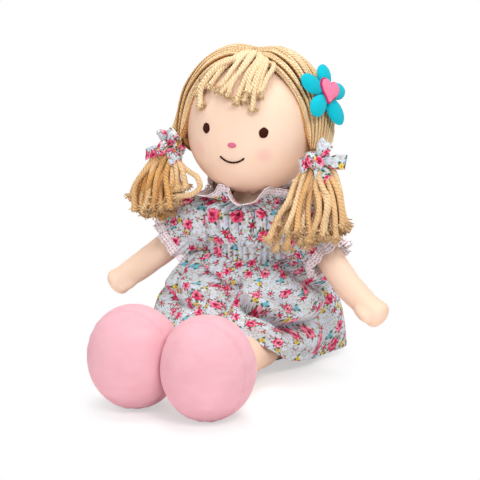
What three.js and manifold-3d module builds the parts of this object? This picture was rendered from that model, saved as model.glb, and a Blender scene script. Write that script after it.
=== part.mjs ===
// Heatable plush doll, sitting: a stuffed cloth body with a grain pouch in it, yarn hair tied in two
// pigtails, a gathered cotton dress with lace, and big stuffed ball feet.
// Millimetres, +Z up. The doll faces -Y and its left side is +X. The origin is the middle of the flat seat.
import * as THREE from 'three';
import { ParametricGeometry } from 'three/addons/geometries/ParametricGeometry.js';
import { mergeVertices } from 'three/addons/utils/BufferGeometryUtils.js';
import Module from 'manifold-3d';

const wasm = await Module();
wasm.setup();

// Clearances and cloth
const GAP = 0.3; // between two pieces that touch
const SKIN = 1.4; // brushed knit of the body and head
const COTTON = 1.3; // dress cotton with its turned edges
const LACE = 0.9;
const STITCHING = 0.9; // height of the embroidery of the face
const VELOUR = 1.6; // pile knit of the feet

// Torso: its ovals from the seat to the neck
const SEAT_WIDTH = 44;
const SEAT_DEPTH = 36;
const HIP_WIDTH = 62;
const HIP_DEPTH = 52;
const HIP_HEIGHT = 27;
const CHEST_WIDTH = 59;
const CHEST_DEPTH = 47;
const CHEST_HEIGHT = 79;
const SHOULDER_WIDTH = 53;
const SHOULDER_DEPTH = 33;
const SHOULDER_HEIGHT = 97;
const TORSO_HEIGHT = 108;
const NECK_DIAMETER = 23;
const NECK_OPENING = 15; // hole through which torso and head are stuffed

// Heat pouch of grain and lavender, in the back of the torso
const POUCH_WIDTH = 44;
const POUCH_HEIGHT = 62;
const POUCH_DEPTH = 21;
const POUCH_LOW = 9; // its lower edge above the seat
const POUCH_CORNER = 11;

// Head
const HEAD_WIDTH = 92;
const HEAD_DEPTH = 76;
const HEAD_TALL = 90;
const NECK_SHOWN = 8; // between torso and head
const CHIN_FORWARD = 7; // how far the jaw is drawn forward of the crown

// Face, sewn on the front of the head
const EYE_WIDTH = 4.8;
const EYE_TALL = 6.2;
const EYE_SPACING = 41;
const EYE_RISE = 2.5; // above the middle of the head
const NOSE_WIDTH = 5.8;
const NOSE_TALL = 3.1;
const NOSE_DROP = 6.5;
const MOUTH_WIDTH = 16.5;
const MOUTH_SAG = 3.4;
const MOUTH_DROP = 18; // to its lowest point
const MOUTH_THREAD = 1.2;

// Hair: a yarn wig sewn down along the parting
const HAIR_DEPTH = 9; // over the crown
const HAIR_FULLNESS = 0.6; // more over the ears
const PARTING_WIDTH = 2.6;
const PARTING_DEPTH = 7;
const HAIRLINE_CROWN = -9; // how far forward the hair comes at the crown
const HAIRLINE_CHEEK = -19; // and beside the cheeks
const HAIRLINE_TURN = 25; // above the middle of the head, where it reaches the cheek line
const NAPE_DROP = 34;
const FRINGE_DEPTH = 3.2;
const FRINGE_TOP = [-9, 6]; // its edges at the parting
// Tips of the fringe's locks: across, and above the middle of the head
const FRINGE_TIPS = [[-27, 14], [-14, 26], [-6, 19], [8, 14.5], [17, 27]];
const FRINGE_SPLIT = 9; // how far up the locks part

// Pigtails, their ties and bows
const TIE_STANDOFF = 6.3; // from the side of the head
const TIE_FORWARD = 18.5;
const TIE_DROP = 16;
const TIE_RADIUS = 6.2;
const TIE_THREAD = 1.6;
const SWING_PIVOT_BACK = 6; // the hair bends this far above the tie
const PIGTAIL_SPREAD = 56; // width over the cut ends
const PIGTAIL_THICK = 15;
// From the tie to the cut ends, outward, back and up
const PIGTAIL_FALL = {
  left: new THREE.Vector3(4.7, -20.5, -53),
  right: new THREE.Vector3(16.7, -12.5, -40),
};
const BOW_LOOP = 14;
const BOW_LOOP_TALL = 9;
const BOW_THICK = 5;
const BOW_TAIL = 21;
const BOW_TAIL_WIDTH = 8;
const KNOT_SIZE = 6.4;

// Felt flower with a heart, sewn on the hair
const FLOWER_PLACE = new THREE.Vector3(50.5, -8, 23); // from the middle of the head
const FLOWER_FACING = new THREE.Vector3(0.8, -0.42, 0.36).normalize();
const FLOWER_RADIUS = 19.5;
const FLOWER_THICK = 5.6;
const PETALS = 5;
const HEART_WIDTH = 14;
const HEART_THICK = 2.2;
const HEART_RIM = 1.6;

// Dress
const DRESS_EASE = 2; // between the body and the cloth at the chest
const YOKE_PLEATS = 14;
const PLEAT_DEPTH = 0.9;
const SHIRRING_BELOW = 5; // the shirred band, below and above the fullest height of the chest
const SHIRRING_ABOVE = 4;
const SHIRR_RIBS = 14;
const YOKE_RISE = 3; // above the torso
const NECKLINE_WIDTH = 47;
const NECKLINE_DEPTH = 44;
const COLLAR_WIDTH = 66;
const COLLAR_DEPTH = 66;
const COLLAR_TALL = 9.5;
const COLLAR_WAVES = 11;
const COLLAR_WAVE = 1.9;
const LACE_SHARE = 0.72; // the collar's lace starts this far up the frill
const SKIRT_FOLDS = 9;
const FOLD_DEPTH = 2.6;
const HEM_EASE = 5.5; // over the legs

// Arms and sleeves
const SHOULDER_ROUND = 19; // diameter of the arm where it is sewn in
const ARM_THICK = 19;
const WRIST_THICK = 16.5;
const HAND_THICK = 18.5;
const ELBOW = new THREE.Vector3(22.7, -8, -20); // from the armhole
const HAND = new THREE.Vector3(65.7, -18, -55);
const THUMB_LENGTH = 7.5;
const THUMB_THICK = 8;
const SLEEVE_HEAD = 30; // diameter at the armhole
const SLEEVE_INSET = 9; // the head of the sleeve reaches this far in over the yoke's round side
const SLEEVE_PUFF = 42;
const CUFF = 32;
const SLEEVE_GATHERS = 10;
const CUFF_LACE = 6.5; // width of the lace
const CUFF_PLACE = new THREE.Vector3(19.7, -8, -18); // from the armhole

// Legs and feet
const LEG_SPACING = 34; // between the hips' centres
const THIGH = 27;
const ANKLE = 24;
const LEG_HEIGHT = 15; // thigh's centre above the ground
const FOOT_SPACING = 53;
const FOOT_WIDTH = 62;
const FOOT_DEPTH = 60;
const FOOT_TALL = 68;
const LEG_LENGTH = { left: 101.2, right: 96.2 }; // from the hip to the middle of the foot
const FOOT_FLAT = 0.5; // the ball of the foot is pressed flat this deep on the ground
const SOLE_SEAM = 8; // the seam of the front panel, ahead of the foot's centre

// Values worked out from those above
const HEAD_CENTRE = TORSO_HEIGHT + NECK_SHOWN + HEAD_TALL / 2;
const TIE_HEIGHT = HEAD_CENTRE - TIE_DROP;
const SHIRRING_LOW = CHEST_HEIGHT - SHIRRING_BELOW;
const SHIRRING_HIGH = CHEST_HEIGHT + SHIRRING_ABOVE;
const YOKE_TOP = TORSO_HEIGHT + YOKE_RISE;
const COLLAR_TOP = YOKE_TOP + COLLAR_TALL;
const HIP_PIVOT_Y = -(HIP_DEPTH / 2 + GAP + THIGH / 2);
const HIP_PIVOT_Z = LEG_HEIGHT;
const YOKE_HALF = CHEST_WIDTH / 2 + DRESS_EASE + COTTON + PLEAT_DEPTH;
const ARMHOLE = YOKE_HALF + GAP;
const SHOULDER_PIVOT_Z = SHOULDER_HEIGHT;
const HEM_OVER_LEGS = LEG_HEIGHT + THIGH / 2 + HEM_EASE;
const MERGE_DISTANCE = 1e-4;
const SIDES = { left: 1, right: -1 };

// The hem, from the middle of the front round by the doll's left side: over the legs, then down beside them
const HEM = [
  [0, -71, HEM_OVER_LEGS - 2.5], [17, -73, HEM_OVER_LEGS], [33, -61, 28], [41, -33, 13],
  [44, -5, 4], [54, 22, 3.5], [48, 41, 3.5], [25, 47, 3.5],
  [0, 48, 3.5], [-25, 47, 3.5], [-47, 41, 4], [-59, 22, 10],
  [-66, -10, 19], [-57, -40, 24], [-37, -62, 29], [-17, -72, HEM_OVER_LEGS],
];

// Geometry helpers

// Drops everything but positions, joins equal corners and turns the faces outward.
function welded(geometry) {
  const bare = geometry.clone();
  bare.deleteAttribute('normal');
  bare.deleteAttribute('uv');
  const merged = mergeVertices(bare, MERGE_DISTANCE);
  const index = merged.index.array;
  const point = merged.attributes.position;
  const corners = [];
  let volume = 0;
  const a = new THREE.Vector3();
  const b = new THREE.Vector3();
  const c = new THREE.Vector3();
  for (let i = 0; i < index.length; i += 3) {
    const [p, q, r] = [index[i], index[i + 1], index[i + 2]];
    if (p === q || q === r || r === p) continue;
    a.fromBufferAttribute(point, p);
    b.fromBufferAttribute(point, q);
    c.fromBufferAttribute(point, r);
    volume += a.dot(b.cross(c));
    corners.push(p, q, r);
  }
  if (volume < 0) corners.reverse();
  merged.setIndex(corners);
  return merged;
}

function toSolid(geometry) {
  const closed = welded(geometry);
  return new wasm.Manifold(new wasm.Mesh({
    numProp: 3,
    vertProperties: new Float32Array(closed.attributes.position.array),
    triVerts: new Uint32Array(closed.index.array),
  }));
}

function toGeometry(solid) {
  const mesh = solid.getMesh();
  const geometry = new THREE.BufferGeometry();
  geometry.setAttribute('position', new THREE.BufferAttribute(new Float32Array(mesh.vertProperties), 3));
  geometry.setIndex(new THREE.BufferAttribute(new Uint32Array(mesh.triVerts), 1));
  return geometry;
}

// A closed skin: place(u, v) gives its points, with u once round and v from one pole to the other.
function skin(place, around, along) {
  return new ParametricGeometry((u, v, target) => target.copy(place(u % 1, v)), around, along);
}

// A cloth ring of some thickness: outer and inner give its two faces, t running from edge to edge.
function clothRing(outer, inner, around, along) {
  const stations = 2 * along + 2;
  return skin((u, v) => {
    const station = Math.round(v * stations) % stations;
    return station <= along ? outer(u, station / along) : inner(u, (stations - 1 - station) / along);
  }, around, stations);
}

// A point of an oval; u is 0 at the front, 0.25 on the doll's left and 0.5 at the back. A squareness
// of 2 is an ellipse, and more gives flatter sides.
function oval(u, halfWidth, halfDepth, y, z, squareness = 2) {
  const angle = 2 * Math.PI * u;
  const across = Math.sin(angle);
  const ahead = Math.cos(angle);
  return new THREE.Vector3(
    halfWidth * Math.sign(across) * Math.abs(across) ** (2 / squareness),
    y - halfDepth * Math.sign(ahead) * Math.abs(ahead) ** (2 / squareness),
    z,
  );
}

function smooth(low, high, value) {
  return THREE.MathUtils.smoothstep(value, low, high);
}

function mix(a, b, t) {
  return a + (b - a) * t;
}

// A stuffed limb along a curve: size(t) gives [half across, half through], across is the wide direction.
// Its rings lie close together at the ends, which round off.
function limb(path, size, across, around, along) {
  return skin((u, v) => {
    const t = THREE.MathUtils.clamp(0.5 - 0.5 * Math.cos(Math.PI * v), 0, 1);
    const centre = path.getPoint(t);
    const ahead = path.getTangent(t);
    const through = ahead.clone().cross(across).normalize();
    const wide = through.clone().cross(ahead).normalize();
    const [halfAcross, halfThrough] = size(t);
    const angle = 2 * Math.PI * u;
    return centre
      .addScaledVector(wide, halfAcross * Math.sin(angle))
      .addScaledVector(through, halfThrough * Math.cos(angle));
  }, around, along);
}

// Half size along a limb with round ends that take startShare and endShare of its length.
function roundEnds(v, startShare, endShare) {
  if (v < startShare) return Math.sqrt(Math.max(0, 1 - ((startShare - v) / startShare) ** 2));
  if (v > 1 - endShare) return Math.sqrt(Math.max(0, 1 - ((v - 1 + endShare) / endShare) ** 2));
  return 1;
}

// A prism through the model: an outline seen from the front, from y = -deep back to y = 0.
function frontPrism(outline, deep) {
  return new THREE.ExtrudeGeometry(outline, { depth: deep, bevelEnabled: false, curveSegments: 6 })
    .rotateX(Math.PI / 2);
}

// A prism through the model: an outline of (y, z) points, from x = start over a length.
function sidePrism(points, start, length) {
  const outline = new THREE.Shape(points.map(([y, z]) => new THREE.Vector2(y, z)));
  const turn = new THREE.Matrix4().makeBasis(
    new THREE.Vector3(0, 1, 0),
    new THREE.Vector3(0, 0, 1),
    new THREE.Vector3(1, 0, 0),
  );
  return new THREE.ExtrudeGeometry(outline, { depth: length, bevelEnabled: false })
    .applyMatrix4(turn)
    .translate(start, 0, 0);
}

function block(low, high) {
  const size = high.clone().sub(low);
  return new THREE.BoxGeometry(size.x, size.y, size.z).translate(
    (low.x + high.x) / 2,
    (low.y + high.y) / 2,
    (low.z + high.z) / 2,
  );
}

function upright(radius, low, high, around) {
  return new THREE.CylinderGeometry(radius, radius, high - low, around)
    .rotateX(Math.PI / 2)
    .translate(0, 0, (low + high) / 2);
}

function mirrored(point, side) {
  return new THREE.Vector3(point.x * side, point.y, point.z);
}

const BIG = 400; // longer than the doll, for cutting blocks

// Body forms. Each takes a lift: how far outside the real face it lies.

const torsoOvals = new THREE.CatmullRomCurve3([
  [0, 0, 0],
  [SEAT_WIDTH / 2, SEAT_DEPTH / 2, 0],
  [HIP_WIDTH / 2, HIP_DEPTH / 2, HIP_HEIGHT],
  [(HIP_WIDTH + CHEST_WIDTH) / 4, (HIP_DEPTH + CHEST_DEPTH) / 4, (HIP_HEIGHT + CHEST_HEIGHT) / 2],
  [CHEST_WIDTH / 2, CHEST_DEPTH / 2, CHEST_HEIGHT],
  [SHOULDER_WIDTH / 2, SHOULDER_DEPTH / 2, SHOULDER_HEIGHT],
  [NECK_DIAMETER / 2 + 2 * GAP, NECK_DIAMETER / 2 + 2 * GAP, TORSO_HEIGHT],
  [0, 0, TORSO_HEIGHT],
].map((oval3) => new THREE.Vector3(...oval3)), false, 'centripetal');

function torsoForm(lift, around = 20, along = 14) {
  return toSolid(skin((u, v) => {
    const section = torsoOvals.getPoint(v);
    const atPole = v <= 0 || v >= 1;
    const height = THREE.MathUtils.clamp(section.z, 0, TORSO_HEIGHT);
    const rise = lift * (2 * height / TORSO_HEIGHT - 1);
    const halfWidth = atPole ? 0 : section.x + lift;
    const halfDepth = atPole ? 0 : section.y + lift;
    return oval(u, halfWidth, halfDepth, 0, height + rise);
  }, around, along));
}

function headPoint(u, v, lift) {
  const level = -Math.cos(Math.PI * v);
  const round = Math.sin(Math.PI * v);
  const forward = CHIN_FORWARD * smooth(-0.3, 0.85, -level);
  return oval(
    u,
    v <= 0 || v >= 1 ? 0 : (HEAD_WIDTH / 2 + lift) * round,
    v <= 0 || v >= 1 ? 0 : (HEAD_DEPTH / 2 + lift) * round,
    -forward,
    HEAD_CENTRE + (HEAD_TALL / 2 + lift) * level,
  );
}

function headForm(lift, around = 22, along = 14) {
  return toSolid(skin((u, v) => headPoint(u, v, lift), around, along));
}

// The hair's outer face: fuller over the ears than on the crown.
function hairForm(lift) {
  return toSolid(skin((u, v) => {
    const side = Math.abs(Math.sin(2 * Math.PI * u)) * Math.sin(Math.PI * v);
    return headPoint(u, v, lift + HAIR_DEPTH + HAIR_FULLNESS * side);
  }, 22, 14));
}

const group = new THREE.Group();

// A moving body is a group at its pivot; the pieces in it keep their places in the doll's frame.
function bodyAt(parent, pivot) {
  const body = new THREE.Group();
  const origin = parent.userData.pivot ?? new THREE.Vector3();
  body.position.copy(pivot).sub(origin);
  body.userData.pivot = pivot.clone();
  parent.add(body);
  return body;
}

function addPiece(parent, name, shape, colour, roughness) {
  const geometry = shape instanceof THREE.BufferGeometry ? welded(shape) : toGeometry(shape);
  const pivot = parent.userData.pivot ?? new THREE.Vector3();
  geometry.translate(-pivot.x, -pivot.y, -pivot.z);
  geometry.computeVertexNormals();
  const piece = new THREE.Mesh(
    geometry,
    new THREE.MeshStandardMaterial({ color: colour, roughness, metalness: 0 }),
  );
  piece.name = name;
  parent.add(piece);
  return piece;
}

// Colours
const SKIN_TONE = '#f7d9c4';
const COTTON_BLUE = '#c3c8dc';
const LACE_PINK = '#e9dde0';
const YARN = '#e3c08a';
const PINK_VELOUR = '#efb3bf';
const STUFFING = '#f4f2ec';
const DARK_THREAD = '#4c1709';
const NOSE_PINK = '#e47796';

// Torso with its filling and heat pouch
function buildTorso(parent) {
  const opening = toSolid(upright(NECK_OPENING / 2, TORSO_HEIGHT - 3 * SKIN, TORSO_HEIGHT + SKIN, 20));
  const inside = torsoForm(-SKIN, 14, 12);
  addPiece(parent, 'torso_cover', torsoForm(0).subtract(inside).subtract(opening), SKIN_TONE, 0.95);

  const half = POUCH_WIDTH / 2;
  const pocketShape = (grow) => {
    const outline = new THREE.Shape();
    const low = POUCH_LOW - grow;
    const high = POUCH_LOW + POUCH_HEIGHT + grow;
    const wide = half + grow;
    outline.moveTo(-wide + POUCH_CORNER, low);
    outline.lineTo(wide - POUCH_CORNER, low);
    outline.quadraticCurveTo(wide, low, wide, low + POUCH_CORNER);
    outline.lineTo(wide, high - POUCH_CORNER);
    outline.quadraticCurveTo(wide, high, wide - POUCH_CORNER, high);
    outline.lineTo(-wide + POUCH_CORNER, high);
    outline.quadraticCurveTo(-wide, high, -wide, high - POUCH_CORNER);
    outline.lineTo(-wide, low + POUCH_CORNER);
    outline.quadraticCurveTo(-wide, low, -wide + POUCH_CORNER, low);
    return outline;
  };
  const pouchFront = CHEST_DEPTH / 2 - SKIN - GAP - POUCH_DEPTH;
  const room = torsoForm(-SKIN - 3 * GAP, 12, 12);
  const pocket = toSolid(frontPrism(pocketShape(GAP), BIG).translate(0, BIG + pouchFront - GAP, 0));
  const slab = toSolid(frontPrism(pocketShape(0), BIG).translate(0, BIG + pouchFront, 0));
  addPiece(parent, 'torso_filling', room.subtract(pocket), STUFFING, 1);
  addPiece(parent, 'heat_pouch', room.intersect(slab), '#d8cdb4', 0.95);
}

// Head, neck, face
function buildHead(parent) {
  const headLow = HEAD_CENTRE - HEAD_TALL / 2;
  const opening = toSolid(
    upright(NECK_OPENING / 2, headLow - SKIN, headLow + 3 * SKIN, 20).translate(0, -CHIN_FORWARD / 2, 0),
  );
  const headShell = headForm(0).subtract(headForm(-SKIN, 16, 10)).subtract(opening);
  addPiece(parent, 'head_cover', headShell, SKIN_TONE, 0.95);
  addPiece(parent, 'head_filling', headForm(-SKIN - 3 * GAP, 16, 10), STUFFING, 1);
  const neck = toSolid(upright(NECK_DIAMETER / 2, TORSO_HEIGHT + GAP, headLow + 3 * SKIN, 22));
  addPiece(parent, 'neck', neck.subtract(headForm(GAP)), SKIN_TONE, 0.95);

  const faceLayer = (height) => headForm(GAP + height).subtract(headForm(GAP));
  const oval2 = (x, z, width, tall) => {
    const outline = new THREE.Shape();
    outline.absellipse(x, z, width / 2, tall / 2, 0, 2 * Math.PI);
    return outline;
  };
  const layer = faceLayer(STITCHING);
  for (const [side, sign] of Object.entries(SIDES)) {
    const eye = oval2(sign * EYE_SPACING / 2, HEAD_CENTRE + EYE_RISE, EYE_WIDTH, EYE_TALL);
    addPiece(parent, `eye_${side}`, layer.intersect(toSolid(frontPrism(eye, BIG))), DARK_THREAD, 0.5);
  }
  const nose = oval2(0, HEAD_CENTRE - NOSE_DROP, NOSE_WIDTH, NOSE_TALL);
  addPiece(parent, 'nose', layer.intersect(toSolid(frontPrism(nose, BIG))), NOSE_PINK, 0.6);
  const mouthRadius = (MOUTH_WIDTH ** 2 / 4 + MOUTH_SAG ** 2) / (2 * MOUTH_SAG);
  const reach = Math.asin(MOUTH_WIDTH / 2 / mouthRadius);
  const mouth = new THREE.Shape();
  const low = -Math.PI / 2;
  const centre = HEAD_CENTRE - MOUTH_DROP + mouthRadius;
  mouth.absarc(0, centre, mouthRadius, low - reach, low + reach, false);
  mouth.absarc(0, centre, mouthRadius - MOUTH_THREAD, low + reach, low - reach, true);
  mouth.closePath();
  addPiece(parent, 'mouth', layer.intersect(toSolid(frontPrism(mouth, BIG))), DARK_THREAD, 0.6);
}

// The tie's centre and the way the pigtail leaves it
function tieOf(side) {
  const sign = SIDES[side];
  const centre = new THREE.Vector3(sign * (HEAD_WIDTH / 2 + TIE_STANDOFF), -TIE_FORWARD, TIE_HEIGHT);
  const fall = mirrored(PIGTAIL_FALL[side], sign);
  const ends = centre.clone().add(fall);
  const away = fall.clone().normalize();
  const pivot = centre.clone().addScaledVector(away, -SWING_PIVOT_BACK);
  return { sign, centre, ends, away, pivot };
}

function ringAround(centre, axis, radius, thread) {
  const turn = new THREE.Quaternion().setFromUnitVectors(new THREE.Vector3(0, 0, 1), axis);
  return new THREE.TorusGeometry(radius, thread, 6, 14)
    .applyQuaternion(turn)
    .translate(centre.x, centre.y, centre.z);
}

// The yarn drawn together from the side of the head down to the tie
function gatherForm(side, lift) {
  const tie = tieOf(side);
  const path = new THREE.CatmullRomCurve3([
    new THREE.Vector3(tie.sign * HEAD_WIDTH * 0.35, 4, HEAD_CENTRE + 14),
    new THREE.Vector3(tie.sign * (HEAD_WIDTH / 2 - 1), -8, HEAD_CENTRE - 1),
    tie.pivot,
  ]);
  return toSolid(limb(
    path,
    (v) => {
      const size = (mix(21, TIE_RADIUS - 0.6, v ** 0.85) + lift) * roundEnds(v, 0.2, 0.04);
      return [size, size];
    },
    new THREE.Vector3(0, 1, 0),
    14,
    9,
  ));
}

function buildHair(parent) {
  const crown = hairForm(0);
  const scalp = headForm(GAP);
  const far = HEAD_DEPTH;
  const top = HEAD_CENTRE + HEAD_TALL;
  const region = [
    [HAIRLINE_CROWN, top],
    [HAIRLINE_CROWN, HEAD_CENTRE + HAIRLINE_TURN + 14],
    [HAIRLINE_CHEEK, HEAD_CENTRE + HAIRLINE_TURN],
    [HAIRLINE_CHEEK, TIE_HEIGHT + 2 * TIE_RADIUS],
    [-TIE_RADIUS, TIE_HEIGHT - TIE_RADIUS],
    [0, HEAD_CENTRE - NAPE_DROP + 7],
    [HEAD_DEPTH / 4, HEAD_CENTRE - NAPE_DROP],
    [far, HEAD_CENTRE - NAPE_DROP],
    [far, top],
  ];
  const shell = crown.subtract(scalp);
  for (const side of Object.keys(SIDES)) {
    const tie = tieOf(side);
    const start = tie.sign > 0 ? PARTING_WIDTH / 2 + GAP : -PARTING_WIDTH / 2 - GAP - BIG;
    const aroundTie = toSolid(
      new THREE.SphereGeometry(TIE_RADIUS + TIE_THREAD + 2 * GAP, 12, 8)
        .translate(tie.centre.x, tie.centre.y, tie.centre.z),
    );
    const half = shell
      .intersect(toSolid(sidePrism(region, start, BIG)))
      .subtract(aroundTie)
      .subtract(pigtailForm(side, 2 * GAP));
    addPiece(parent, `hair_${side}`, half.add(gatherForm(side, 0).subtract(scalp)), YARN, 0.9);
  }
  const seamRegion = [
    [HAIRLINE_CROWN, top],
    [HAIRLINE_CROWN, HEAD_CENTRE],
    [far, HEAD_CENTRE],
    [far, top],
  ];
  const seam = headForm(GAP + PARTING_DEPTH)
    .subtract(scalp)
    .intersect(toSolid(sidePrism(seamRegion, -PARTING_WIDTH / 2, PARTING_WIDTH)));
  addPiece(parent, 'parting_seam', seam, '#d9b983', 0.9);

  // The fringe hangs from the front of the parting in locks of unequal length.
  const outline = new THREE.Shape();
  outline.moveTo(FRINGE_TOP[0], top);
  FRINGE_TIPS.forEach(([x, rise], lock) => {
    const z = HEAD_CENTRE + rise;
    const [before, beforeRise] = FRINGE_TIPS[lock - 1] ?? [x, rise];
    const [after] = FRINGE_TIPS[lock + 1] ?? [x];
    if (lock === 0) outline.lineTo(x + 1, z + FRINGE_SPLIT);
    else outline.lineTo(mix(before, x, 0.5), Math.max(z, HEAD_CENTRE + beforeRise) + FRINGE_SPLIT * 0.7);
    outline.lineTo(x - 1, z);
    outline.lineTo(x + 1.5, z + 0.5);
    if (after === x) outline.lineTo(x + 1, z + FRINGE_SPLIT);
  });
  outline.lineTo(FRINGE_TOP[1], top);
  outline.closePath();
  const front = toSolid(frontPrism(outline, BIG).translate(0, HAIRLINE_CROWN - GAP, 0));
  const behindHairline = sidePrism(region.map(([y, z]) => [y - 2 * GAP, z]), -BIG, 2 * BIG);
  const fringe = headForm(GAP + FRINGE_DEPTH)
    .subtract(scalp)
    .intersect(front)
    .subtract(toSolid(behindHairline))
    .subtract(gatherForm('left', GAP))
    .subtract(gatherForm('right', GAP));
  addPiece(parent, 'hair_fringe', fringe, YARN, 0.9);
}

function pigtailForm(side, lift) {
  const tie = tieOf(side);
  const start = tie.centre.clone().addScaledVector(tie.away, TIE_THREAD + GAP - lift);
  const end = tie.ends.clone().addScaledVector(tie.away, lift);
  const middle = start.clone().lerp(end, 0.45).add(new THREE.Vector3(tie.sign * 2, -2.5, 1));
  const across = new THREE.Vector3(tie.sign * 0.88, 0.4, 0.22).normalize();
  return toSolid(limb(
    new THREE.CatmullRomCurve3([start, middle, end]),
    (v) => {
      const round = roundEnds(v, 0.06, 0.16);
      const half = mix(TIE_RADIUS + 1.5, PIGTAIL_SPREAD / 2, smooth(0, 1, v));
      const thick = mix(TIE_RADIUS + 1, PIGTAIL_THICK / 2, v);
      return [(half + lift) * round, (thick + lift) * round];
    },
    across,
    14,
    10,
  ));
}

function buildPigtail(head, side) {
  const tie = tieOf(side);
  const body = bodyAt(head, tie.pivot);
  const band = (lift) => toSolid(ringAround(tie.centre, tie.away, TIE_RADIUS, TIE_THREAD + lift));
  addPiece(body, `hair_tie_${side}`, band(0), '#d9b983', 0.7);
  const yarn = pigtailForm(side, 0);
  const core = toSolid(limb(
    new THREE.LineCurve3(
      tie.pivot.clone().addScaledVector(tie.away, 2 * GAP),
      tie.centre.clone().addScaledVector(tie.away, 3 * TIE_THREAD),
    ),
    (v) => {
      const size = (TIE_RADIUS - TIE_THREAD - GAP) * roundEnds(v, 0.25, 0.1);
      return [size, size];
    },
    new THREE.Vector3(1, 0, 0),
    10,
    6,
  ));
  addPiece(body, `pigtail_${side}`, yarn.add(core).subtract(band(GAP)), YARN, 0.9);

  // The bow lies on the front of the tie.
  const front = new THREE.Vector3(tie.sign * 0.45, -0.85, 0.1).normalize();
  const heart = tie.centre.clone().addScaledVector(front, TIE_RADIUS + TIE_THREAD + 0.8 * BOW_THICK / 2);
  const right = new THREE.Vector3(0, 0, 1).cross(front).normalize();
  const up = front.clone().cross(right).normalize();
  const wing = (angle) => {
    const along = right.clone().multiplyScalar(Math.cos(angle)).addScaledVector(up, Math.sin(angle));
    const loop = new THREE.SphereGeometry(1, 10, 6).scale(BOW_LOOP * 0.56, BOW_LOOP_TALL / 2, BOW_THICK / 2);
    const basis = new THREE.Matrix4().makeBasis(along, front.clone().cross(along), front);
    const centre = heart.clone().addScaledVector(along, BOW_LOOP * 0.5);
    return toSolid(loop.applyMatrix4(basis).translate(centre.x, centre.y, centre.z));
  };
  const tail = (angle) => {
    const along = right.clone().multiplyScalar(Math.cos(angle)).addScaledVector(up, Math.sin(angle));
    const strip = new THREE.BoxGeometry(BOW_TAIL, BOW_TAIL_WIDTH, COTTON);
    const basis = new THREE.Matrix4().makeBasis(along, front.clone().cross(along), front);
    const centre = heart.clone().addScaledVector(along, BOW_TAIL * 0.5);
    return toSolid(strip.applyMatrix4(basis).translate(centre.x, centre.y, centre.z));
  };
  const degree = Math.PI / 180;
  const loops = wing(20 * degree).add(wing(160 * degree));
  const tails = tail(-68 * degree).add(tail(-122 * degree));
  const knotAt = heart.clone().addScaledVector(front, BOW_THICK / 2);
  const knot = (lift) => toSolid(
    new THREE.SphereGeometry(KNOT_SIZE / 2 + lift, 10, 6).translate(knotAt.x, knotAt.y, knotAt.z),
  );
  const bow = loops.add(tails).subtract(band(GAP)).subtract(pigtailForm(side, GAP)).subtract(knot(GAP));
  addPiece(body, `bow_${side}`, bow, COTTON_BLUE, 0.85);
  addPiece(body, `bow_knot_${side}`, knot(0), COTTON_BLUE, 0.85);
  return body;
}

// Felt flower, facing away from the side of the head
function buildFlower(parent) {
  const flowerCentre = new THREE.Vector3(0, 0, HEAD_CENTRE).add(FLOWER_PLACE);
  const side = new THREE.Vector3(0, 0, 1).cross(FLOWER_FACING).normalize();
  const up = FLOWER_FACING.clone().cross(side);
  const place = (geometry, height) => {
    const centre = flowerCentre.clone().addScaledVector(FLOWER_FACING, height);
    return geometry
      .applyMatrix4(new THREE.Matrix4().makeBasis(side, up, FLOWER_FACING))
      .translate(centre.x, centre.y, centre.z);
  };
  const outline = new THREE.Shape();
  const steps = PETALS * 8;
  for (let i = 0; i <= steps; i++) {
    const angle = (2 * Math.PI * i) / steps;
    const radius = (FLOWER_RADIUS - 1.6) * (0.74 + 0.26 * Math.cos(PETALS * angle));
    const point = [radius * Math.sin(angle + 0.2), radius * Math.cos(angle + 0.2)];
    if (i === 0) outline.moveTo(...point);
    else outline.lineTo(...point);
  }
  const puff = (FLOWER_THICK - 2) / 2;
  const felt = new THREE.ExtrudeGeometry(outline, {
    depth: 2,
    bevelThickness: puff,
    bevelSize: 1.6,
    bevelSegments: 2,
  });
  const flower = toSolid(place(felt, 0)).subtract(hairForm(GAP)).subtract(gatherForm('left', GAP));
  addPiece(parent, 'flower', flower, '#0cb4bf', 0.95);
  const heartShape = (grow) => {
    const s = (HEART_WIDTH + 2 * grow) / 2;
    const heart = new THREE.Shape();
    heart.moveTo(0, -1.15 * s);
    heart.bezierCurveTo(-0.6 * s, -0.6 * s, -s, -0.3 * s, -s, 0.25 * s);
    heart.bezierCurveTo(-s, 0.95 * s, -0.2 * s, 1.1 * s, 0, 0.5 * s);
    heart.bezierCurveTo(0.2 * s, 1.1 * s, s, 0.95 * s, s, 0.25 * s);
    heart.bezierCurveTo(s, -0.3 * s, 0.6 * s, -0.6 * s, 0, -1.15 * s);
    return heart;
  };
  const plate = (grow, thick) => new THREE.ExtrudeGeometry(
    heartShape(grow),
    { depth: thick, bevelEnabled: false, curveSegments: 5 },
  );
  const face = 2 + puff + GAP;
  const rim = toSolid(place(plate(HEART_RIM, HEART_THICK * 0.7), face))
    .subtract(toSolid(place(plate(GAP, BIG), face - 1)));
  addPiece(parent, 'heart_edging', rim, '#b5305f', 0.9);
  addPiece(parent, 'heart', place(plate(0, HEART_THICK), face), '#f57c9b', 0.95);
}

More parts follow.
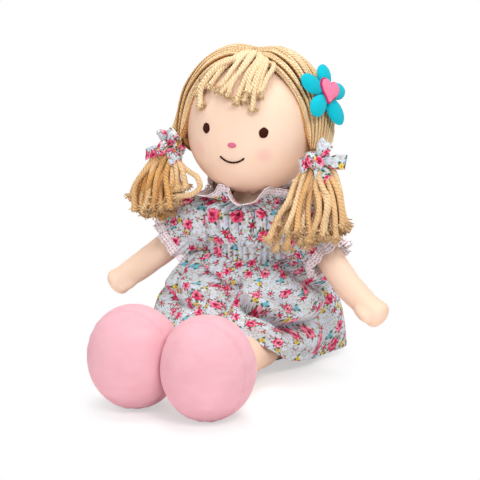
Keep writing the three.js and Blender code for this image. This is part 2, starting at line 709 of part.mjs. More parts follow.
// Dress: yoke, shirred waist, skirt, collar frill and its lace
const yokeOvals = new THREE.CatmullRomCurve3([
  [YOKE_HALF - PLEAT_DEPTH, CHEST_DEPTH / 2 + DRESS_EASE + COTTON, SHIRRING_HIGH + GAP],
  [YOKE_HALF - PLEAT_DEPTH, CHEST_DEPTH / 2 + DRESS_EASE + COTTON, mix(SHIRRING_HIGH, SHOULDER_HEIGHT, 0.6)],
  [YOKE_HALF - PLEAT_DEPTH, CHEST_DEPTH / 2 + DRESS_EASE, SHOULDER_HEIGHT + 9],
  [NECKLINE_WIDTH / 2, NECKLINE_DEPTH / 2, YOKE_TOP],
].map((oval3) => new THREE.Vector3(...oval3)), false, 'centripetal');

function yokePoint(u, t, inset) {
  const section = yokeOvals.getPoint(t);
  const pleat = PLEAT_DEPTH * Math.sin(2 * Math.PI * YOKE_PLEATS * u);
  const square = mix(2.2, 3.2, Math.sin(Math.PI * t));
  const out = pleat - inset;
  return oval(u, section.x + out, section.y + out, 0, section.z - 0.7 * inset * t, square);
}

const waistHalf = CHEST_WIDTH / 2 + DRESS_EASE * 0.6;
const waistDepth = CHEST_DEPTH / 2 + DRESS_EASE * 0.6;
const hem = new THREE.CatmullRomCurve3(HEM.map((at) => new THREE.Vector3(...at)), true);

function skirtPoint(u, t, inset) {
  const angle = 2 * Math.PI * u;
  const front = Math.max(0, Math.cos(angle));
  const fold = FOLD_DEPTH * t * Math.sin(SKIRT_FOLDS * angle + 0.6);
  const spread = mix(Math.sin((Math.PI / 2) * t) ** 0.65, t, front ** 2);
  const edge = hem.getPoint(u);
  const waist = oval(u, waistHalf + COTTON, waistDepth + COTTON, 0, SHIRRING_LOW);
  return new THREE.Vector3(
    mix(waist.x, edge.x, spread),
    mix(waist.y, edge.y, spread),
    mix(waist.z, edge.z, t ** mix(1.25, 1, front)) - 0.6 * inset * t * front,
  ).addScaledVector(oval(u, 1, 1, 0, 0), fold - inset);
}

// The room inside a cloth ring, filled and closed at both edges
function filled(edgePoint, around, along) {
  const stations = along + 2;
  return toSolid(skin((u, v) => {
    const station = Math.round(v * stations);
    const t = THREE.MathUtils.clamp((station - 1) / along, 0, 1);
    return station % stations === 0 ? new THREE.Vector3(0, 0, edgePoint(0, t).z) : edgePoint(u, t);
  }, around, stations));
}

function buildDress(parent) {
  const yoke = toSolid(clothRing(
    (u, t) => yokePoint(u, t, 0),
    (u, t) => yokePoint(u, t, COTTON),
    3 * YOKE_PLEATS,
    4,
  ));
  const armhole = toSolid(
    new THREE.CylinderGeometry(SHOULDER_ROUND / 2 + 2 * GAP, SHOULDER_ROUND / 2 + 2 * GAP, BIG, 20)
      .rotateZ(Math.PI / 2)
      .translate(0, 0, SHOULDER_PIVOT_Z),
  );
  addPiece(parent, 'dress_yoke', yoke.subtract(armhole).subtract(torsoForm(GAP)), COTTON_BLUE, 0.9);

  const waistPoint = (u, t, out) => {
    const rib = 0.5 * Math.sin(2 * Math.PI * SHIRR_RIBS * u);
    const height = mix(SHIRRING_LOW + GAP, SHIRRING_HIGH, t);
    return oval(u, waistHalf + out + rib, waistDepth + out + rib, 0, height);
  };
  const shirring = toSolid(clothRing(
    (u, t) => waistPoint(u, t, COTTON),
    (u, t) => waistPoint(u, t, 0),
    3 * SHIRR_RIBS,
    1,
  ));
  addPiece(parent, 'waist_shirring', shirring.subtract(torsoForm(GAP)), COTTON_BLUE, 0.9);

  const skirt = toSolid(clothRing(
    (u, t) => skirtPoint(u, t, 0),
    (u, t) => skirtPoint(u, t, COTTON),
    4 * SKIRT_FOLDS,
    6,
  ));
  const legs = legForm('left', GAP).add(legForm('right', GAP));
  addPiece(parent, 'dress_skirt', skirt.subtract(torsoForm(GAP)).subtract(legs), COTTON_BLUE, 0.9);

  const frillPoint = (u, t, inset) => {
    const wave = COLLAR_WAVE * t * Math.sin(2 * Math.PI * COLLAR_WAVES * u);
    const halfWidth = mix(NECKLINE_WIDTH, COLLAR_WIDTH, t ** 0.8) / 2 + wave - inset;
    const halfDepth = mix(NECKLINE_DEPTH, COLLAR_DEPTH, t ** 0.8) / 2 + wave - inset;
    return oval(u, halfWidth, halfDepth, 0, mix(YOKE_TOP + GAP, COLLAR_TOP, t) + inset * 0.4 + wave * 0.4);
  };
  const laceStart = LACE_SHARE + GAP / (COLLAR_TOP - YOKE_TOP);
  addPiece(parent, 'collar_frill', clothRing(
    (u, t) => frillPoint(u, t * LACE_SHARE, 0),
    (u, t) => frillPoint(u, t * LACE_SHARE, COTTON),
    4 * COLLAR_WAVES,
    2,
  ), COTTON_BLUE, 0.9);
  addPiece(parent, 'collar_lace', clothRing(
    (u, t) => frillPoint(u, mix(laceStart, 1, t), 0),
    (u, t) => frillPoint(u, mix(laceStart, 1, t), LACE),
    4 * COLLAR_WAVES,
    1,
  ), LACE_PINK, 0.9);
}

// A point given from the doll's left armhole, on the left or right
function fromArmhole(offset, sign) {
  return new THREE.Vector3(sign * (ARMHOLE + offset.x), offset.y, SHOULDER_PIVOT_Z + offset.z);
}

// Arms: the arm turns about the line through both shoulders, with its sleeve and lace
function armForm(sign, lift) {
  const root = new THREE.Vector3(sign * (SHOULDER_WIDTH / 2 + 3), 0, SHOULDER_PIVOT_Z);
  const path = new THREE.CatmullRomCurve3([
    root,
    new THREE.Vector3(sign * (ARMHOLE + 3), -1, SHOULDER_PIVOT_Z - 2),
    fromArmhole(ELBOW, sign),
    fromArmhole(HAND, sign),
  ]);
  return toSolid(limb(
    path,
    (v) => {
      const round = roundEnds(v, 0.03, 0.13);
      const body = v < 0.6
        ? mix(SHOULDER_ROUND, ARM_THICK, v / 0.6)
        : mix(mix(ARM_THICK, WRIST_THICK, smooth(0.6, 0.82, v)), HAND_THICK, smooth(0.82, 0.95, v));
      const size = (body / 2 + lift) * round;
      return [size, size];
    },
    new THREE.Vector3(0, 1, 0),
    12,
    14,
  ));
}

function buildArm(parent, side) {
  const sign = SIDES[side];
  const pivot = new THREE.Vector3(sign * ARMHOLE, 0, SHOULDER_PIVOT_Z);
  const body = bodyAt(parent, pivot);
  const hand = fromArmhole(HAND, sign);
  const thumbAt = hand.clone().add(new THREE.Vector3(-sign * 7, -HAND_THICK * 0.42, 5));
  const thumb = toSolid(
    new THREE.SphereGeometry(1, 10, 8)
      .scale(THUMB_THICK / 2, THUMB_LENGTH, THUMB_THICK / 2)
      .rotateZ(sign * 0.5)
      .translate(thumbAt.x, thumbAt.y, thumbAt.z),
  );
  const rootFace = Math.max(SHOULDER_WIDTH, CHEST_WIDTH) / 2 + GAP;
  const outward = sign > 0
    ? block(new THREE.Vector3(rootFace, -BIG, -BIG), new THREE.Vector3(BIG, BIG, BIG))
    : block(new THREE.Vector3(-BIG, -BIG, -BIG), new THREE.Vector3(-rootFace, BIG, BIG));
  const stub = toSolid(
    new THREE.CylinderGeometry(SHOULDER_ROUND / 2, SHOULDER_ROUND / 2, ARMHOLE + 3 - rootFace, 20)
      .rotateZ(Math.PI / 2)
      .translate(sign * (ARMHOLE + 3 + rootFace) / 2, 0, SHOULDER_PIVOT_Z),
  );
  const beyond = sign > 0
    ? block(new THREE.Vector3(ARMHOLE + 2, -BIG, -BIG), new THREE.Vector3(BIG, BIG, BIG))
    : block(new THREE.Vector3(-BIG, -BIG, -BIG), new THREE.Vector3(-ARMHOLE - 2, BIG, BIG));
  const arm = armForm(sign, 0).intersect(toSolid(beyond)).add(stub).add(thumb).intersect(toSolid(outward));
  addPiece(body, `arm_${side}`, arm, SKIN_TONE, 0.95);

  // The sleeve starts on the side of the yoke, to which it is sewn.
  const start = new THREE.Vector3(sign * (YOKE_HALF - SLEEVE_INSET), 0, SHOULDER_PIVOT_Z - 1);
  const cuff = fromArmhole(CUFF_PLACE, sign);
  const path = new THREE.CatmullRomCurve3([
    start,
    start.clone().lerp(cuff, 0.5).add(new THREE.Vector3(sign * 2, 0, 1.5)),
    cuff,
  ]);
  const away = path.getTangent(1);
  const width = (t) => mix(
    mix(SLEEVE_HEAD, SLEEVE_PUFF, Math.sin(Math.PI * Math.min(1, t * 1.15)) ** 0.8),
    CUFF,
    smooth(0.6, 1, t),
  ) / 2;
  const sleevePoint = (u, t, inset) => {
    const centre = path.getPoint(t);
    const ahead = path.getTangent(t);
    const through = ahead.clone().cross(new THREE.Vector3(0, 1, 0)).normalize();
    const wide = through.clone().cross(ahead);
    const half = width(t) - inset + 0.6 * Math.cos(2 * Math.PI * SLEEVE_GATHERS * u) * t;
    return centre
      .addScaledVector(wide, half * Math.sin(2 * Math.PI * u))
      .addScaledVector(through, half * Math.cos(2 * Math.PI * u));
  };
  const sleeve = toSolid(clothRing(
    (u, t) => sleevePoint(u, t, 0),
    (u, t) => sleevePoint(u, t, COTTON),
    2 * SLEEVE_GATHERS,
    5,
  ));
  const outside = (start, low, high) => toSolid(sign > 0
    ? block(new THREE.Vector3(start, -BIG, low), new THREE.Vector3(BIG, BIG, high))
    : block(new THREE.Vector3(-BIG, -BIG, low), new THREE.Vector3(-start, BIG, high)));
  const besideYoke = outside(YOKE_HALF - SLEEVE_INSET, SHIRRING_HIGH + 3 * GAP, BIG);
  const besideWaist = outside(ARMHOLE + GAP, -BIG, BIG);
  const skirtRoom = filled((u, t) => skirtPoint(u, t, -GAP), 4 * SKIRT_FOLDS, 6);
  const sewnOn = sleeve
    .intersect(besideYoke.add(besideWaist))
    .subtract(filled((u, t) => yokePoint(u, t, -GAP), 3 * YOKE_PLEATS, 4))
    .subtract(skirtRoom);
  addPiece(body, `sleeve_${side}`, sewnOn, COTTON_BLUE, 0.9);

  const lacePoint = (u, t, inset) => {
    const point = sleevePoint(u, 1, inset + 0.2);
    const flare = 1.5 * t * Math.cos(2 * Math.PI * SLEEVE_GATHERS * u);
    const outwardOf = point.clone().sub(cuff).normalize();
    return point.addScaledVector(away, GAP + CUFF_LACE * t).addScaledVector(outwardOf, flare);
  };
  const lace = toSolid(clothRing(
    (u, t) => lacePoint(u, t, 0),
    (u, t) => lacePoint(u, t, LACE),
    2 * SLEEVE_GATHERS,
    1,
  ));
  addPiece(body, `cuff_lace_${side}`, lace.subtract(skirtRoom), LACE_PINK, 0.9);
  return body;
}

// Legs and feet
function footCentre(side) {
  return new THREE.Vector3(
    SIDES[side] * FOOT_SPACING / 2,
    HIP_PIVOT_Y - LEG_LENGTH[side],
    FOOT_TALL / 2 - FOOT_FLAT,
  );
}

function footForm(side, lift, around = 20, along = 14) {
  const centre = footCentre(side);
  const ball = toSolid(new THREE.SphereGeometry(1, around, along)
    .scale(FOOT_WIDTH / 2 + lift, FOOT_DEPTH / 2 + lift, FOOT_TALL / 2 + lift)
    .translate(centre.x, centre.y, centre.z));
  const inner = GAP - lift;
  const room = SIDES[side] > 0
    ? block(new THREE.Vector3(inner, -BIG, -lift), new THREE.Vector3(BIG, BIG, BIG))
    : block(new THREE.Vector3(-BIG, -BIG, -lift), new THREE.Vector3(-inner, BIG, BIG));
  return ball.intersect(toSolid(room));
}

function legForm(side, lift) {
  const sign = SIDES[side];
  const hip = new THREE.Vector3(sign * LEG_SPACING / 2, HIP_PIVOT_Y, HIP_PIVOT_Z);
  const foot = footCentre(side);
  const ankle = new THREE.Vector3(foot.x - sign, foot.y + FOOT_DEPTH / 2 - 6, foot.z - 8);
  const path = new THREE.LineCurve3(hip, ankle);
  const shank = toSolid(limb(
    path,
    (v) => {
      const size = (mix(THIGH, ANKLE, v) / 2 + lift) * (v <= 0 || v >= 1 ? 0 : 1);
      return [size, size];
    },
    new THREE.Vector3(1, 0, 0),
    14,
    5,
  ));
  const root = toSolid(
    new THREE.SphereGeometry(THIGH / 2 + lift, 14, 8).translate(hip.x, hip.y, hip.z),
  );
  return shank.add(root);
}

function buildLeg(parent, side) {
  const sign = SIDES[side];
  const pivot = new THREE.Vector3(sign * LEG_SPACING / 2, HIP_PIVOT_Y, HIP_PIVOT_Z);
  const body = bodyAt(parent, pivot);
  const leg = legForm(side, 0).subtract(footForm(side, GAP)).subtract(torsoForm(GAP));
  addPiece(body, `leg_${side}`, leg, SKIN_TONE, 0.95);

  const shell = footForm(side, 0).subtract(footForm(side, -VELOUR, 14, 10));
  const seam = footCentre(side).y - SOLE_SEAM;
  const corner = new THREE.Vector3(BIG, BIG, BIG);
  const back = toSolid(block(new THREE.Vector3(-BIG, seam + GAP / 2, -BIG), corner));
  const front = toSolid(block(corner.clone().negate(), new THREE.Vector3(BIG, seam - GAP / 2, BIG)));
  addPiece(body, `foot_${side}`, shell.intersect(back), PINK_VELOUR, 0.95);
  addPiece(body, `sole_panel_${side}`, shell.intersect(front), PINK_VELOUR, 0.95);
  addPiece(body, `foot_filling_${side}`, footForm(side, -VELOUR - 3 * GAP, 14, 8), STUFFING, 1);
  return body;
}

// The whole doll
buildTorso(group);
buildDress(group);
const head = bodyAt(group, new THREE.Vector3(0, 0, TORSO_HEIGHT));
buildHead(head);
buildHair(head);
buildFlower(head);
for (const side of Object.keys(SIDES)) {
  buildPigtail(head, side);
  buildArm(group, side);
  buildLeg(group, side);
}

export default group;
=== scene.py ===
import bisect
import math
import random

import bmesh
import bpy
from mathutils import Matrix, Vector, noise


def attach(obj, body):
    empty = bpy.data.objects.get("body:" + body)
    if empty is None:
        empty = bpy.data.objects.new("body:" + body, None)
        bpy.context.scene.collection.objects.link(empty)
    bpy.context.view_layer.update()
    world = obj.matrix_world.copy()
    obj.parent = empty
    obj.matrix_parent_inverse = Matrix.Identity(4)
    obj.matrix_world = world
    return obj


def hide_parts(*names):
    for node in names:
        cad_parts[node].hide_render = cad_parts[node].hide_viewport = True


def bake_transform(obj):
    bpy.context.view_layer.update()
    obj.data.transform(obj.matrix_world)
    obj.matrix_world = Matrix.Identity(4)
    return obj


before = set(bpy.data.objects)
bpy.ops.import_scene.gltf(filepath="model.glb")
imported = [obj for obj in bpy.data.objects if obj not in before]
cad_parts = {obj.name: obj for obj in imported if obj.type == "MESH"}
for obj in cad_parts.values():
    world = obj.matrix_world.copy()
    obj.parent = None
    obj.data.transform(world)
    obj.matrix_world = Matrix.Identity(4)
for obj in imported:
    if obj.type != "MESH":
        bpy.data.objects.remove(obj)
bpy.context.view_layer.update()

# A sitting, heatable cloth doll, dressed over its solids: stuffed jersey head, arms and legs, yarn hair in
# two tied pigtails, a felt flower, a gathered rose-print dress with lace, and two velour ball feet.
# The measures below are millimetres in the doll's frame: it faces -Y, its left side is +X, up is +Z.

MM = 0.001
TURN = 2 * math.pi
UP = Vector((0, 0, 1))
chance = random.Random(27)

# Measures of the solids
HEAD_HALF = Vector((46, 38, 45))
HEAD_MIDDLE = 161
CHIN_FORWARD = 7
SIDES = {"left": 1, "right": -1}
BODY = {
    "left": {"arm": "arm_l", "leg": "leg_l", "pigtail": "pigtail_l"},
    "right": {"arm": "arm_r", "leg": "leg_r", "pigtail": "pigtail_r"},
}


def mix(a, b, t):
    """The value a share t of the way from a to b."""
    return a + (b - a) * t


def smooth(low, high, value):
    """0 at low, 1 at high, with soft ends."""
    t = min(1, max(0, (value - low) / (high - low)))
    return t * t * (3 - 2 * t)


def oval(u, half_width, half_depth, z, squareness=2.0):
    """A point of an oval round the doll's middle; u is 0 at the front, 0.25 on its left, 0.5 at the back."""
    across, ahead = math.sin(TURN * u), math.cos(TURN * u)
    power = 2 / squareness
    return Vector((
        half_width * math.copysign(abs(across) ** power, across),
        -half_depth * math.copysign(abs(ahead) ** power, ahead),
        z,
    ))


def on_curve(points, share, closed=False):
    """The point at a share of the way along a smooth curve through the points."""
    count = len(points)
    spans = count if closed else count - 1
    place = share * spans
    i = min(max(int(place), 0), spans - 1)
    t = place - i

    def at(k):
        if closed:
            return points[k % count]
        if k < 0:
            return points[0] * 2 - points[1]
        if k >= count:
            return points[-1] * 2 - points[-2]
        return points[k]

    a, b, c, d = (at(i + k) for k in (-1, 0, 1, 2))
    ab, bc, cd = (max((q - p).length ** 0.5, 0.01) for p, q in ((a, b), (b, c), (c, d)))
    leave = ((b - a) / ab - (c - a) / (ab + bc) + (c - b) / bc) * bc
    arrive = ((c - b) / bc - (d - b) / (bc + cd) + (d - c) / cd) * bc
    bow, turn = (c - b) * 3 - leave * 2 - arrive, (b - c) * 2 + leave + arrive
    return b + leave * t + bow * t ** 2 + turn * t ** 3


def heading(points, share):
    """The way along a curve at a share of its length."""
    return (on_curve(points, min(1, share + 0.01)) - on_curve(points, max(0, share - 0.01))).normalized()


def traced(points, steps):
    """Places at even steps along a smooth curve through the points."""
    return [on_curve(points, j / steps) for j in range(steps + 1)]


def across_path(path, t):
    """A place on a path and the two ways across the path there: level, and upright."""
    ahead = heading(path, t)
    upright = ahead.cross(Vector((0, 1, 0))).normalized()
    return on_curve(path, t), upright.cross(ahead), upright


def ring_point(middle, level, upright, half, u):
    """A point of a ring round a middle; u is 0 on the upright way and 0.25 on the level one."""
    return middle + level * half * math.sin(TURN * u) + upright * half * math.cos(TURN * u)


def rounded(t, start, end, power=2):
    """The share of its full width that a stuffed form has at t: it is round up to start and from end on."""
    if t < start:
        return math.sqrt(max(0, 1 - ((start - t) / start) ** 2))
    if t > end:
        return math.sqrt(max(0, 1 - ((t - end) / (1 - end)) ** power))
    return 1


def head_point(way, lift):
    """A point lift above the head's cover; way is its direction from the middle of the head."""
    forward = CHIN_FORWARD * smooth(-0.3, 0.85, -way.z)
    return Vector((
        (HEAD_HALF.x + lift) * way.x,
        (HEAD_HALF.y + lift) * way.y - forward,
        HEAD_MIDDLE + (HEAD_HALF.z + lift) * way.z,
    ))


def on_face(x, z, lift):
    """The point of the front of the head at x and z."""
    rise = (z - HEAD_MIDDLE) / (HEAD_HALF.z + lift)
    across = x / (HEAD_HALF.x + lift)
    return head_point(Vector((across, -math.sqrt(max(0, 1 - across ** 2 - rise ** 2)), rise)), lift)


# Materials

def linear(code):
    """An sRGB hex colour as linear light."""
    shares = [int(code[k:k + 2], 16) / 255 for k in (1, 3, 5)]
    return tuple(c / 12.92 if c <= 0.04045 else ((c + 0.055) / 1.055) ** 2.4 for c in shares) + (1.0,)


def add(tree, kind, inputs=None, output=0, **settings):
    """Adds a node; each input takes a value or another node's output."""
    node = tree.nodes.new("ShaderNode" + kind)
    for name, value in settings.items():
        setattr(node, name, value)
    for name, value in (inputs or {}).items():
        if isinstance(value, bpy.types.NodeSocket):
            tree.links.new(value, node.inputs[name])
        else:
            node.inputs[name].default_value = value
    return node.outputs[output]


def finish(name, **sockets):
    """A material of one shader, with the sockets that are the same all over; returns it with both."""
    material = bpy.data.materials.new(name)
    material.use_nodes = True
    shader = material.node_tree.nodes["Principled BSDF"]
    for socket, value in sockets.items():
        shader.inputs[socket.replace("_", " ")].default_value = value
    return material, material.node_tree, shader


def surface(tree, shader, colour, relief, strength, high):
    """Gives a shader its colour, and its relief, so many millimetres high."""
    normal = add(tree, "Bump", {"Strength": strength, "Distance": high * MM, "Height": relief}, "Normal")
    tree.links.new(colour, shader.inputs["Base Color"])
    tree.links.new(normal, shader.inputs["Normal"])


def place_mm(tree):
    """Places on the piece, from the doll's middle, in millimetres."""
    spot = add(tree, "TexCoord", output="Object")
    return add(tree, "VectorMath", {0: spot, 1: (1000, 1000, 1000)}, operation="MULTIPLY")


def jersey(name, blush=False):
    # Interlock cotton jersey, brushed on its face: matt and a little furry at the edges, with wales too
    # fine to count. The wales are 0.5 mm apart in the real cloth and are drawn 1.1 mm apart to show.
    material, tree, shader = finish(name, Roughness=0.92, Sheen_Weight=0.1, Sheen_Roughness=0.6,
                                    Specular_IOR_Level=0.15)
    spot = place_mm(tree)
    patches = add(tree, "TexNoise", {"Vector": spot, "Scale": 0.05, "Detail": 3.0})
    colour = add(tree, "Mix", {0: patches, 6: linear("#f1cfb4"), 7: linear("#f7dcc6")}, 2, data_type="RGBA")
    if blush:
        # Powder rubbed into both cheeks, strongest in a spot 3 mm wide and gone 8.5 mm from its middle
        for cheek in ((-26.0, -31.0, 148.5), (20.5, -34.3, 148.5)):
            off = add(tree, "VectorMath", {0: spot, 1: cheek}, "Value", operation="DISTANCE")
            faded = add(tree, "MapRange", {"Value": off, "From Min": 8.5, "From Max": 1.5, "To Max": 0.28},
                        interpolation_type="SMOOTHERSTEP")
            colour = add(tree, "Mix", {0: faded, 6: colour, 7: linear("#eb9ba0")}, 2, data_type="RGBA")
    # Painted warm shade: the colour turns warmer and deeper where the face turns away from view
    edge = add(tree, "LayerWeight", {"Blend": 0.3}, 1)
    painted_warm_shade = add(tree, "Math", {0: edge, 1: 0.5}, operation="MULTIPLY")
    colour = add(tree, "Mix", {0: painted_warm_shade, 6: colour, 7: linear("#e7a983")}, 2, data_type="RGBA")
    wales = add(tree, "TexWave", {"Vector": spot, "Scale": 0.29, "Distortion": 1.2, "Detail": 2.0,
                                  "Detail Scale": 1.5}, 1, bands_direction="DIAGONAL")
    fuzz = add(tree, "TexNoise", {"Vector": spot, "Scale": 1.6, "Detail": 4.0, "Roughness": 0.7})
    relief = add(tree, "Math", {0: wales, 1: 0.35, 2: fuzz}, operation="MULTIPLY_ADD")
    surface(tree, shader, colour, relief, 0.35, 0.22)
    return material


def plied_yarn():
    # Cotton yarn of three soft plies, dyed honey blond: round and matt, each ply catching light on its back
    # and painted shade in the groove between. Each ply turns once round the yarn in 7.2 mm.
    material, tree, shader = finish("cotton yarn, plied, honey", Roughness=0.88, Sheen_Weight=0.15,
                                    Sheen_Roughness=0.5, Specular_IOR_Level=0.2)
    run = add(tree, "SeparateXYZ", {0: add(tree, "UVMap", uv_map="cloth")}).node.outputs
    along = add(tree, "Math", {0: run[1], 1: 3 * TURN / 7.2}, operation="MULTIPLY")
    around = add(tree, "Math", {0: run[0], 1: 3 * TURN, 2: along}, operation="MULTIPLY_ADD")
    wave = add(tree, "Math", {0: around}, operation="SINE")
    ply = add(tree, "Math", {0: wave, 1: 0.5, 2: 0.5}, operation="MULTIPLY_ADD")
    fibre = add(tree, "TexNoise", {"Vector": place_mm(tree), "Scale": 1.1, "Detail": 4.0, "Roughness": 0.75})
    # The yarn's tint, with the strands' painted shade and painted highlight added to it
    tint_and_painted_light = add(tree, "Attribute", output="Fac", attribute_name="tint_and_painted_light")
    dyed_and_painted_light = add(tree, "Mix", {0: tint_and_painted_light, 6: linear("#dca460"), 7: linear("#ffe9c0")}, 2, data_type="RGBA")
    # Painted shade on the flanks between two strands and against the head, where the value is under 0
    painted_flank_shade = add(tree, "MapRange", {"Value": tint_and_painted_light, "From Min": 0.0, "From Max": -1.0})
    dyed_and_painted_light = add(tree, "Mix", {0: painted_flank_shade, 6: dyed_and_painted_light, 7: linear("#7d5228")}, 2, data_type="RGBA")
    # Frayed fibres have a tint over 1, no groove and more shade between them
    frayed = add(tree, "Math", {0: tint_and_painted_light, 1: 1.05}, operation="GREATER_THAN")
    shaded = add(tree, "Math", {0: frayed, 1: 0.55}, operation="MULTIPLY")
    dyed_and_painted_light = add(tree, "Mix", {0: shaded, 6: dyed_and_painted_light, 7: linear("#cc9448")}, 2, data_type="RGBA")
    # Painted shade in the grooves between plies, none on frayed fibres
    lit = add(tree, "Math", {0: fibre, 1: 0.75, 2: ply}, operation="MULTIPLY_ADD")
    lit = add(tree, "MapRange", {"Value": lit, "From Min": 0.2, "From Max": 0.7, "To Min": 0.58})
    lit = add(tree, "Math", {0: lit, 1: frayed}, operation="MAXIMUM")
    colour = add(tree, "Mix", {0: lit, 6: linear("#935f2f"), 7: dyed_and_painted_light}, 2, data_type="RGBA")
    relief = add(tree, "Math", {0: fibre, 1: 0.6, 2: ply}, operation="MULTIPLY_ADD")
    surface(tree, shader, colour, relief, 0.9, 0.5)
    return material


def stamped(tree, ground, dye, distance, edge, share=1.0, soft=0.22):
    """Prints a share of a dye on the ground, inside an edge at so many millimetres' distance."""
    inside = add(tree, "MapRange", {"Value": distance, "From Min": edge + soft, "From Max": edge - soft})
    printed = add(tree, "Math", {0: inside, 1: share}, operation="MULTIPLY")
    return add(tree, "Mix", {0: printed, 6: ground, 7: dye}, 2, data_type="RGBA")


def strewn(tree, cloth, spacing, shift):
    """Motifs strewn a spacing apart over the cloth: how far the nearest one's middle is in millimetres, the
    angle round it, and three numbers that differ from motif to motif."""
    cell = add(tree, "VectorMath", {0: cloth, 1: (1 / spacing,) * 3, 2: shift}, operation="MULTIPLY_ADD")
    motif = add(tree, "TexVoronoi", {"Vector": cell, "Scale": 1.0, "Randomness": 0.75},
                voronoi_dimensions="2D").node.outputs
    off = add(tree, "VectorMath", {0: cell, 1: motif["Position"]}, operation="SUBTRACT")
    side = add(tree, "SeparateXYZ", {0: off}).node.outputs
    angle = add(tree, "Math", {0: side[1], 1: side[0]}, operation="ARCTAN2")
    distance = add(tree, "Math", {0: motif["Distance"], 1: spacing}, operation="MULTIPLY")
    return distance, angle, add(tree, "SeparateColor", {0: motif["Color"]}).node.outputs


def lobed(tree, distance, angle, lobes, depth, turn):
    """The distance made shorter and longer round a motif, which gives it petals."""
    phase = add(tree, "Math", {0: angle, 1: lobes, 2: turn}, operation="MULTIPLY_ADD")
    wave = add(tree, "Math", {0: phase}, operation="SINE")
    return add(tree, "Math", {0: wave, 1: depth, 2: distance}, operation="MULTIPLY_ADD")


def printed_cotton():
    # Cotton lawn, plain woven, printed with small roses: crisp and matt. The roses are 7 to 8 mm wide, one
    # to each 17 mm, with leaves, buds, small blue and mustard flowers, sprigs and a speckle between them.
    # The threads are 0.25 mm apart in the real cloth and are drawn 0.8 mm apart to show.
    material, tree, shader = finish("cotton lawn, rose printed", Roughness=0.82, Sheen_Weight=0.08,
                                    Specular_IOR_Level=0.3)
    cloth = add(tree, "UVMap", uv_map="cloth")
    ripple = add(tree, "TexNoise", {"Vector": cloth, "Scale": 0.5, "Detail": 2.0}, 1)
    shaken = add(tree, "VectorMath", {0: ripple, 1: (1.2, 1.2, 0), 2: cloth}, operation="MULTIPLY_ADD")
    shade = add(tree, "TexNoise", {"Vector": cloth, "Scale": 0.12, "Detail": 4.0})
    ground = add(tree, "Mix", {0: shade, 6: linear("#bccae2"), 7: linear("#e6edf4")}, 2, data_type="RGBA")

    # Speckle of yellow-green and of rose
    for spacing, shift, dye, edge in ((1.9, (5.2, 1.3, 0), "#aeb27c", 0.72),
                                      (3.3, (1.1, 6.3, 0), "#dba3b4", 0.66)):
        distance, _, pick = strewn(tree, shaken, spacing, shift)
        ground = stamped(tree, ground, linear(dye), distance, edge, pick[0], 0.3)

    # Sprigs of narrow leaves with a small bud
    distance, angle, pick = strewn(tree, shaken, 6.6, (2.1, 7.7, 0))
    some = add(tree, "Math", {0: pick[0], 1: 0.3}, operation="GREATER_THAN")
    turn = add(tree, "Math", {0: pick[2], 1: TURN}, operation="MULTIPLY")
    ground = stamped(tree, ground, linear("#66835c"), lobed(tree, distance, angle, 3.0, 1.3, turn), 1.0, some)
    dye = add(tree, "Mix", {0: pick[1], 6: linear("#e23f74"), 7: linear("#cda6cf")}, 2, data_type="RGBA")
    ground = stamped(tree, ground, dye, distance, 0.8, some)

    # Small five-petalled flowers, blue or mustard, with three leaves and a darker eye
    distance, angle, pick = strewn(tree, shaken, 13.5, (3.7, 8.1, 0))
    some = add(tree, "Math", {0: pick[0], 1: 0.2}, operation="GREATER_THAN")
    ground = stamped(tree, ground, linear("#48684a"), lobed(tree, distance, angle, 3.0, 1.6, 0.4), 2.1, some)
    which = add(tree, "Math", {0: pick[1], 1: 0.45}, operation="GREATER_THAN")
    dye = add(tree, "Mix", {0: which, 6: linear("#68bfda"), 7: linear("#e3c14c")}, 2, data_type="RGBA")
    ground = stamped(tree, ground, dye, lobed(tree, distance, angle, 5.0, 0.45, 0.0), 1.95, some)
    ground = stamped(tree, ground, linear("#8a7a3c"), distance, 0.6, some)

    # Single buds, then the roses: narrow leaves round a bloom of crimson, pink and pale petals 1.8 mm wide
    petal = add(tree, "TexVoronoi", {"Vector": shaken, "Scale": 1 / 1.8},
                voronoi_dimensions="2D").node.outputs
    tone = add(tree, "SeparateColor", {0: petal["Color"]}).node.outputs[0]
    tone = add(tree, "Math", {0: petal["Distance"], 1: 0.45, 2: tone}, operation="MULTIPLY_ADD")
    pale = add(tree, "MapRange", {"Value": tone, "From Min": 0.48, "From Max": 0.82})
    petals = add(tree, "Mix", {0: pale, 6: linear("#d01c56"), 7: linear("#f07ea0")}, 2, data_type="RGBA")
    palest = add(tree, "MapRange", {"Value": tone, "From Min": 1.0, "From Max": 1.2})
    petals = add(tree, "Mix", {0: palest, 6: petals, 7: linear("#f8c6cf")}, 2, data_type="RGBA")
    for spacing, shift, rare, widest, leaves in ((9.8, (6.3, 2.9, 0), 0.55, 1.6, 1.9),
                                                 (16.6, (0.4, 0.9, 0), 0.0, 3.9, 3.7)):
        distance, angle, pick = strewn(tree, shaken, spacing, shift)
        some = add(tree, "Math", {0: pick[0], 1: rare}, operation="GREATER_THAN")
        turn = add(tree, "Math", {0: pick[1], 1: TURN}, operation="MULTIPLY")
        leaf = lobed(tree, distance, angle, 7.0, 1.55, turn)
        ground = stamped(tree, ground, linear("#38552f"), leaf, leaves, some)
        pink = stamped(tree, petals, linear("#8e0a32"), distance, widest * 0.33, 1.0, 0.5)
        ground = stamped(tree, ground, pink, lobed(tree, distance, angle, 5.0, 0.2, turn), widest, some)

    warp, weft = (add(tree, "TexWave", {"Vector": cloth, "Scale": 0.39, "Distortion": 0.6}, 1,
                      bands_direction=way) for way in "XY")
    weave = add(tree, "Math", {0: warp, 1: weft}, operation="ADD")
    surface(tree, shader, ground, weave, 0.12, 0.15)
    return material


